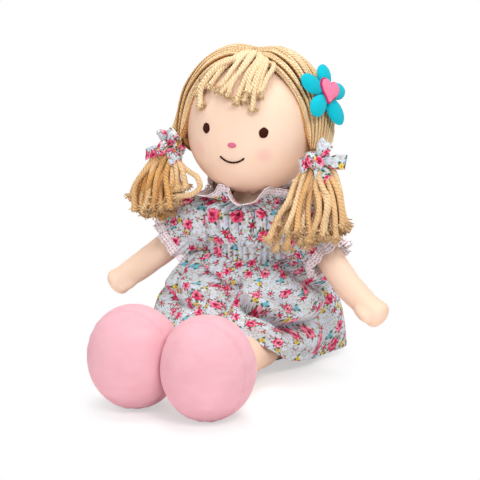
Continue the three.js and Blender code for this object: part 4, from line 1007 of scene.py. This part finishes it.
def make_flower():
    """Two layers of felt sewn round and stuffed, with a felt heart on a magenta one"""
    middle = Vector((51.2, -5.4, 186.6))
    facing = Vector((0.86, -0.3, 0.4)).normalized()
    side = UP.cross(facing).normalized()
    up = facing.cross(side)

    tips, notch, bulge, hollow = (20.4, 19.6, 23.6, 21.4, 22.4), 7.2, 3.9, -2.6

    def petals(u, v):
        # v runs from the middle of the back over the rim to the middle of the front
        off = abs((5 * u + 0.5) % 1 - 0.5) * 2  # 0 at a petal's tip, 1 between two petals
        rim = mix(notch, tips[int(5 * u + 0.5) % 5], max(0, 1 - off ** 1.7) ** 0.8)
        t = math.sin(math.pi * v)
        plump = math.sqrt(max(0, 1 - t ** 3.4)) * (1 - 0.72 * off ** 2.5 * smooth(0.15, 0.55, t))
        plump *= mix(0.72, 1, smooth(0.2, 0.62, t))
        height = 1.0 + (bulge if v > 0.5 else hollow) * plump
        angle = TURN * u + 0.34
        return middle + (side * math.sin(angle) + up * math.cos(angle)) * rim * t + facing * height

    flower = make("flower_petals", woven(petals, 140, 34), TURQUOISE)
    sewn(flower, "head", "turquoise_felt", "flower")

    half, lean = 7.4, math.radians(-30)
    heart_up = up * math.cos(lean) - side * math.sin(lean)
    heart_side = side * math.cos(lean) + up * math.sin(lean)
    seat = middle + up * 0.6 + side * 1.0
    outline = [Vector((x * half, z * half, 0)) for x, z in (
        (0, -1.15), (-0.36, -0.72), (-0.76, -0.28), (-1.0, 0.22), (-0.9, 0.72), (-0.55, 0.93), (-0.2, 0.82),
        (0, 0.52), (0.2, 0.82), (0.55, 0.93), (0.9, 0.72), (1.0, 0.22), (0.76, -0.28), (0.36, -0.72),
    )]

    def plate(grow, low, high, crown):
        """A heart of felt from low to high over the flower's middle, domed by crown"""
        def place(u, v):
            edge = on_curve(outline, u, True)
            t = min(1, 1.25 * math.sin(math.pi * v))
            scale = (1 + grow / half) * t
            height = mix(low, high, 0.5 - 0.5 * math.cos(math.pi * v))
            dome = crown * (1 - t ** 2) if v > 0.5 else 0
            return (seat + heart_side * edge.x * scale + heart_up * edge.y * scale
                    + facing * (height + dome))
        return woven(place, 84, 20)

    rim = make("heart_rim", plate(1.0, 3.9, 5.4, 0.0), EDGING)
    sewn(rim, "head", "magenta_thread", "heart_edging")
    heart = make("heart_felt", plate(0.0, 4.4, 6.4, 1.1), PINK_FELT)
    sewn(heart, "head", "pink_felt", "heart")


# Dress

# The yoke's ovals from the waist to the neck: half width, half depth and height
YOKE = [Vector(at) for at in ((32.8, 26.8, 83.3), (32.8, 26.8, 91.4), (32.8, 25.5, 106), (23.5, 22, 111))]
# The hem: places round it, from the front by the doll's left. It is up in front, where it lies on the legs.
HEM = [Vector(at) for at in (
    (0, -71, 31.5), (17, -73, 33), (33.5, -61, 24.5), (41.5, -33, 9.5),
    (44, -5, 4), (54, 22, 3.5), (48, 41, 3.5), (25, 47, 3.5),
    (0, 48, 3.5), (-25, 47, 3.5), (-47, 41, 4), (-59, 22, 10),
    (-66, -10, 19), (-57, -40, 24), (-37, -62, 29), (-17, -72, 34),
)]
GATHERS = 46  # little folds round the waist and neck


def gather(u, phase=0.0):
    """Gathered cloth: round ridges of uneven width with sharp valleys, from -1 to 1"""
    angle = TURN * GATHERS * u + 1.1 * math.sin(TURN * 5 * u + phase)
    angle += 0.8 * math.sin(TURN * 11 * u + 2 * phase)
    return 2 * abs(math.cos(angle / 2)) ** 0.7 - 1


def yoke_place(share, t):
    """The yoke's cloth: twenty broad pleats, and fine gathers where it is sewn at the waist and neck"""
    section = on_curve(YOKE, t)
    pinch = max(smooth(0.6, 1, t), smooth(0.45, 0, t))
    fine = 1.15 * gather(share, 0.4) * mix(0.15, 1, pinch)
    angle = math.pi * 20 * share + 0.9 * math.sin(TURN * 3 * share)
    angle += 0.45 * math.sin(3.4 * t + TURN * 7 * share)
    broad = 7.0 * (abs(math.sin(angle)) ** 0.42 - 0.8) * mix(0.3, 1, smooth(0.05, 0.7, t))
    deep = fine + broad
    square = mix(2.2, 3.2, math.sin(math.pi * t))
    return oval(YOKE_ROUND(share), section.x + deep, section.y + deep, section.z, square)


# The skirt's folds: how wide and how far out in millimetres, then the line along each, by u round the hem and
# t from the waist down, which are turned to millimetres of a skirt 250 round and 80 long. The first is where
# the skirt breaks over the doll's left knee.
ROUND, DOWN = 250, 80
FOLDS = tuple((wide, rise, [Vector((ROUND * u, DOWN * t)) for u, t in line]) for wide, rise, line in (
    (3.4, -7.4, ((0.02, 0.53), (0.05, 0.56), (0.075, 0.6), (0.125, 0.64), (0.17, 0.7), (0.22, 0.7),
                 (0.3, 0.68))),
    (6.0, 3.6, ((0.04, 0.44), (0.08, 0.49), (0.125, 0.53), (0.17, 0.58), (0.22, 0.58), (0.29, 0.56))),
    (6.0, 3.4, ((0.06, 0.76), (0.11, 0.8), (0.175, 0.84), (0.23, 0.84), (0.29, 0.82))),
    (3.6, -4.6, ((0.03, 0.26), (0.02, 0.36), (0.01, 0.46), (0.005, 0.6), (0.01, 0.8))),
    (4.6, 3.0, ((0.09, 0.12), (0.085, 0.2), (0.065, 0.4), (0.05, 0.52))),
    (4.6, 3.2, ((-0.04, 0.34), (-0.035, 0.5), (-0.03, 0.66), (-0.025, 0.86))),
    (3.2, -3.8, ((-0.17, 0.1), (-0.125, 0.2), (-0.07, 0.28), (-0.03, 0.36), (0.03, 0.37))),
    (6.5, 3.0, ((-0.17, 0.3), (-0.12, 0.4), (-0.07, 0.48), (-0.05, 0.54))),
    (3.8, -4.0, ((0.14, 0.0), (0.165, 0.08), (0.225, 0.24), (0.28, 0.4), (0.33, 0.5))),
    (6.0, 2.8, ((0.12, 0.12), (0.17, 0.3), (0.24, 0.46), (0.3, 0.54))),
    (3.6, -3.2, ((-0.2, 0.14), (-0.19, 0.28), (-0.175, 0.46), (-0.175, 0.68))),
    (3.4, -3.2, ((-0.23, 0.54), (-0.185, 0.6), (-0.12, 0.64), (-0.06, 0.72))),
    (4.0, -3.4, ((0.36, 0.1), (0.38, 0.5), (0.39, 0.98))),
    (4.0, -3.6, ((0.45, 0.06), (0.46, 0.4), (0.455, 0.9))),
    (4.0, -3.4, ((-0.44, 0.1), (-0.45, 0.5), (-0.44, 0.98))),
    (4.0, -3.6, ((-0.36, 0.06), (-0.35, 0.4), (-0.355, 0.9))),
    (3.6, -3.2, ((-0.27, 0.12), (-0.28, 0.5), (-0.29, 0.96))),
))


def drape(u, t):
    """How far the skirt's folds stand out, in millimetres"""
    here = Vector((ROUND * ((u + 0.5) % 1 - 0.5), DOWN * t))
    out = 2.4 * t * math.sin(9 * TURN * u + 0.6)
    beyond = 30  # millimetres past its ends, where a fold's line no longer counts
    for wide, rise, line in FOLDS:
        ends = sorted((line[0].x, line[-1].x))
        if not ends[0] - beyond < here.x < ends[1] + beyond:
            continue
        nearest, run = 1e9, 0.0
        for k in range(len(line) - 1):
            step = line[k + 1] - line[k]
            share = min(1, max(0, (here - line[k]).dot(step) / step.length_squared))
            off = (line[k] + step * share - here).length
            if off < nearest:
                nearest, run = off, (k + share) / (len(line) - 1)
        out += 1.6 * rise * math.exp(-(nearest / wide) ** 2) * smooth(0, 0.22, run) * smooth(1, 0.8, run)
    out += 1.3 * gather(u) * smooth(0.45, 0, t)
    out += 0.8 * math.sin(TURN * 23 * u + 1) * smooth(0.9, 0.25, t) * t
    # The hem is turned up and stitched
    return out - 0.4 * math.exp(-((t - 0.955) / 0.007) ** 2) + 0.3 * smooth(0.95, 0.965, t)


def skirt_place(u, t):
    """The skirt's cloth between the waist and the hem: it bells out, but runs straight over the lap"""
    front = max(0, math.cos(TURN * u))
    spread = mix(math.sin(math.pi / 2 * t) ** 0.65, t, front ** 2)
    edge = on_curve(HEM, u, True)
    waist = oval(u, 32.0, 26.0, 74)
    point = Vector((
        mix(waist.x, edge.x, spread),
        mix(waist.y, edge.y, spread),
        mix(waist.z, edge.z, t ** mix(1.25, 1, front)),
    ))
    out = (oval(u, 1, 1, 0) + UP * 0.9 * front ** 2 * smooth(0.1, 0.5, t)).normalized()
    return point + out * drape(u, t)


def make_dress():
    """The yoke, the shirred waist, the skirt, and the collar with its lace"""
    # u starts at the back, so that the print meets itself there
    def turned(place):
        return lambda u, t: place((u + 0.5) % 1, t)

    # How wide and how high the cloth would lie flat, at its lower and its upper edge
    def printed(wide_low, wide_high, low, high):
        return lambda u, t: ((u - 0.5) * mix(wide_low, wide_high, t) + 200, mix(low, high, t))

    yoke = make("yoke_cloth", woven(turned(yoke_place), 400, 26, printed(208, 192, 83, 116)), PRINT, 0.6)
    sewn(yoke, "torso", "print_cotton", "dress_yoke")

    # The waist is drawn in by rows of elastic thread, with the cloth puffing out between them
    def waist(u, t):
        rows, low, high = 3, 73.6, 83.6
        out = 1.2 + 1.4 * gather(u, 0.2) + 0.5 * abs(math.sin(math.pi * rows * t)) ** 0.6
        return oval(u, 30.7 + out, 24.7 + out, mix(low, high, t))

    shirring = make("waist_gathers", woven(turned(waist), 368, 14, printed(226, 230, 73, 83)), PRINT, 0.6)
    sewn(shirring, "torso", "print_cotton", "waist_shirring")

    # More of the skirt's rows lie in the hem, whose stitching is fine
    def hemmed(t):
        return t * 0.93 / 0.8 if t < 0.8 else 0.93 + (t - 0.8) * 0.35

    wide = printed(255, 385, 73, -12)
    skirt = make("skirt_cloth", woven(turned(lambda u, t: skirt_place(u, hemmed(t))), 368, 60,
                 lambda u, t: wide(u, hemmed(t))), PRINT, 0.6)
    sewn(skirt, "torso", "print_cotton", "dress_skirt")

    # The frill falls forward and stands back in five big waves, with small ones on its edge and little
    # gathers at its root
    def frill(u, t):
        wave = math.cos(TURN * 5 * (u - 0.039) + 0.5 * math.sin(TURN * 2 * u + 0.6))
        wave *= 1.4 - 0.4 * wave ** 2
        small = -2.1 * math.sin(TURN * 15 * u + 1.2 * math.sin(TURN * 3 * u)) * t
        rise, bend = t ** 1.2, t ** 1.3 * wave
        out = 4.6 * bend + small + 0.7 * gather(u) * (1 - 0.5 * t)
        level = mix(110.6, 118.9, t ** 1.1) - 4.4 * bend + 0.5 * small
        return oval(u, mix(23.5, 33.6, rise) + out, mix(22, 33.6, rise) + out, level)

    collar = make("collar_cloth", woven(turned(lambda u, t: frill(u, t * 0.74)), 360, 12,
                  printed(215, 245, 117, 126)), PRINT, 0.55)
    sewn(collar, "torso", "print_cotton", "collar_frill")

    def edge(u, t):
        scallop = 0.03 * abs(math.sin(math.pi * 60 * u))
        return frill(u, mix(0.70, 1.03 + scallop, t)) + oval(u, 0.3, 0.3, 0.25)

    lace = make("collar_lace_edge", woven(turned(edge), 480, 8, printed(230, 250, 0, 5.0)), LACE, 0.5)
    sewn(lace, "torso", "lace", "collar_lace")


def make_sleeve(side):
    """A puff sleeve, gathered at both ends, and the lace frill sewn to its cuff"""
    sign = SIDES[side]
    start, cuff = Vector((sign * 24.7, 0, 96)), Vector((sign * 53.7, -8, 79))
    path = [start, start.lerp(cuff, 0.5) + Vector((sign * 2, 0, 1.5)), cuff]
    armhole, fullest, at_cuff = 30, 42, 32

    def place(u, t, extra=0.0):
        puffed = mix(armhole, fullest, math.sin(math.pi * min(1, t * 1.15)) ** 0.8)
        puff = mix(puffed, at_cuff, smooth(0.6, 1, t)) / 2
        tight = max(smooth(0.72, 1, t), smooth(0.35, 0.1, t))
        angle = TURN * 17 * u + 1.2 * math.sin(TURN * 3 * u)
        fold = 0.8 * (2 * abs(math.cos(angle)) ** 0.7 - 1) * mix(0.35, 1, tight)
        fold += 0.7 * math.sin(TURN * 5 * u + 4 * t) * math.sin(math.pi * t)
        return ring_point(*across_path(path, t), puff + fold + extra, u)

    sleeve = make(f"sleeve_cloth_{side}", woven(place, 204, 30, lambda u, t: (u * 132, 44 * t + 300)),
                  PRINT, 0.6)
    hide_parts(f"sleeve_{side}")
    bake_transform(sleeve)

    away = heading(path, 1)

    def frill(u, t):
        flare = 2.7 * t * math.cos(TURN * 10 * u + 0.8 * math.sin(TURN * 2 * u))
        scallop = 0.5 * abs(math.sin(math.pi * 30 * u)) * smooth(0.6, 1, t)
        rim = place(u, 1, -0.3)
        out = (rim - cuff).normalized()
        return rim + away * (-0.6 + 7.1 * t + scallop) + out * (flare + 0.6 * t)

    lace = make(f"cuff_lace_edge_{side}", woven(frill, 200, 12, lambda u, t: (u * 108, 7.4 * t)), LACE, 0.45)
    sewn(lace, BODY[side]["arm"], "lace", f"cuff_lace_{side}")


# Limbs, feet and torso

# The middle of each arm, from inside the torso to the tip of the hand
ARM_PATHS = {
    "left": ((31.2, 0, 97), (37, -1, 95), (56.7, -8, 77), (73, -13.5, 60), (88, -16.5, 48),
             (100.3, -18, 40.2)),
    "right": ((-31.2, 0, 97), (-37, -1, 95), (-56.7, -8, 77), (-72.5, -12, 63.5), (-90, -16.5, 50),
              (-99.7, -18, 42.5)),
}


def make_arm(side):
    """A stuffed arm with a mitten hand, and a thumb that is worked into one form with it"""
    sign = SIDES[side]
    path = [Vector(at) for at in ARM_PATHS[side]]
    upper, wrist, hand = 19, 17.2, 18.6

    def limb(u, v):
        t = 0.5 - 0.5 * math.cos(math.pi * v)
        middle, level, upright = across_path(path, t)
        half = mix(mix(upper, wrist, smooth(0.6, 0.8, t)), hand, smooth(0.8, 0.93, t)) / 2
        soft = 0.45 * noise.noise(middle * 0.09 + level * math.sin(TURN * u) * 1.1)
        crook = 0.35 * math.exp(-((t - 0.6) / 0.03) ** 2) * math.cos(TURN * u)
        return ring_point(middle, level, upright, (half + soft - crook) * rounded(t, 0.03, 0.91, 2.2), u)

    thumb_at = Vector((86.5, -23.6, 45.2)) if side == "left" else Vector((-86, -20.5, 46.5))
    thumb_half, thumb_reach = 4.3, 7.5
    lean = Vector((sign * 0.76, -0.35, -0.55)).normalized()
    beside = lean.cross(UP).normalized()

    def thumb(u, v):
        middle = thumb_at - lean * thumb_reach * math.cos(math.pi * v)
        return ring_point(middle, beside.cross(lean), beside, thumb_half * math.sin(math.pi * v) ** 0.6, u)

    arm = make(f"arm_stuffed_{side}", joined([woven(limb, 40, 60), woven(thumb, 24, 16)]), SKIN)
    shaped(
        arm,
        ("REMESH", {"mode": "VOXEL", "voxel_size": 1.1 * MM}),
        ("SMOOTH", {"factor": 0.6, "iterations": 6}),
    )
    arm.data.shade_smooth()
    if not arm.data.materials:
        arm.data.materials.append(SKIN)
    sewn(arm, BODY[side]["arm"], "skin_jersey", f"arm_{side}")


FEET = {"left": Vector((26.5, -141, 33.5)), "right": Vector((-26.5, -136, 33.5))}
FOOT_HALF = Vector((31, 30, 34))
SEAM_AHEAD = 8  # millimetres in front of the middle of the foot


def make_leg(side):
    """A stuffed leg that lies flat on the floor and is puckered where the foot is sewn on"""
    sign, foot = SIDES[side], FEET[side]
    hip = Vector((sign * 17, -39.8, 15))
    ankle = Vector((foot.x - sign, foot.y + 25, 25.5))
    ahead = (ankle - hip).normalized()
    level = ahead.cross(UP).normalized()

    def limb(u, v):
        t = 0.5 - 0.5 * math.cos(math.pi * v)
        middle = (hip + Vector((0, 20, 0))).lerp(ankle, t)
        soft = 0.4 * noise.noise(middle * 0.08 + level * math.sin(TURN * u))
        pucker = 0.5 * math.sin(TURN * 12 * u) * smooth(0.78, 0.95, t)
        half = (mix(13.5, 12, t) + soft + pucker) * rounded(t, 0.14, 0.96)
        point = ring_point(middle, level, level.cross(ahead), half, u)
        point.z = max(point.z, 0.4)
        return point

    leg = make(f"leg_stuffed_{side}", woven(limb, 48, 40), SKIN)
    sewn(leg, BODY[side]["leg"], "skin_jersey", f"leg_{side}")


def make_foot(side):
    """A ball of velour: a front panel and a gathered back, joined by a seam round it"""
    sign, centre = SIDES[side], FEET[side]

    def ball(u, v):
        # The poles lie at the front and back, so that the seam is a ring
        ahead = -math.cos(math.pi * v)
        across = math.sin(math.pi * v) * math.sin(TURN * u)
        above = math.sin(math.pi * v) * math.cos(TURN * u)
        off_seam = ahead * FOOT_HALF.y - SEAM_AHEAD
        seam = math.exp(-(off_seam / 0.8) ** 2)
        pucker = 0.3 * math.sin(TURN * 26 * u) * math.exp(-(off_seam / 4.0) ** 2)
        folds = 0.9 * math.sin(TURN * 13 * u) * smooth(-0.62, -0.95, ahead)
        soft = 0.6 * noise.noise(Vector((across, above, ahead + 3 * sign)) * 1.7)
        lift = soft - 1.0 * seam + pucker + folds - 0.2
        point = centre + Vector((
            (FOOT_HALF.x + lift) * across,
            -(FOOT_HALF.y + lift) * ahead,
            (FOOT_HALF.z + lift) * above,
        ))
        # It is pressed flat where it stands, and against the other foot
        point.z = max(point.z, 0.05 + 0.012 * max(0, FOOT_HALF.z - abs(point.x - centre.x)))
        apart, least = 2.5, 0.35
        meet = point.x * sign
        if meet < apart:
            point.x = sign * (least + (apart - least) * math.exp((meet - apart) / (apart - least)))
        return point

    foot = make(f"foot_velour_{side}", woven(ball, 104, 60), VELOUR)
    sewn(foot, BODY[side]["leg"], "pink_velour", f"foot_{side}", f"sole_panel_{side}")


def make_torso():
    # Half width, half depth and height, from the seat up to the neck
    ovals = [Vector(at) for at in (
        (0, 0, 0), (22, 18, 0), (31, 26, 27), (30.25, 24.75, 53), (29.5, 23.5, 79), (26.5, 16.5, 97),
        (12.1, 12.1, 108), (0, 0, 108),
    )]

    def place(u, v):
        section = on_curve(ovals, v)
        ends = 0 if v in (0, 1) else 1
        return oval(u, max(0, section.x - 0.15) * ends, max(0, section.y - 0.15) * ends,
                    min(107.8, max(0.1, section.z)))

    torso = make("torso_jersey", woven(place, 64, 56), SKIN)
    sewn(torso, "torso", "skin_jersey", "torso_cover")


def fill_inside():
    """Finishes for the solids that stay, hidden inside the covers"""
    for name, material in (
        ("torso_filling", FILLING), ("head_filling", FILLING), ("heat_pouch", POUCH),
        ("foot_filling_left", FILLING), ("foot_filling_right", FILLING),
    ):
        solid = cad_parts[name]
        solid.data.materials.clear()
        solid.data.materials.append(material)


stand_camera()
light_up()
lay_floor()
make_torso()
make_head()
make_face()
make_neck()
make_hair()
make_parting()
make_fringe()
make_flower()
make_dress()
for side_name in SIDES:
    make_pigtail(side_name)
    make_bow(side_name)
    make_arm(side_name)
    make_sleeve(side_name)
    make_leg(side_name)
    make_foot(side_name)
fill_inside()

bpy.context.scene.view_settings.view_transform = "Standard"
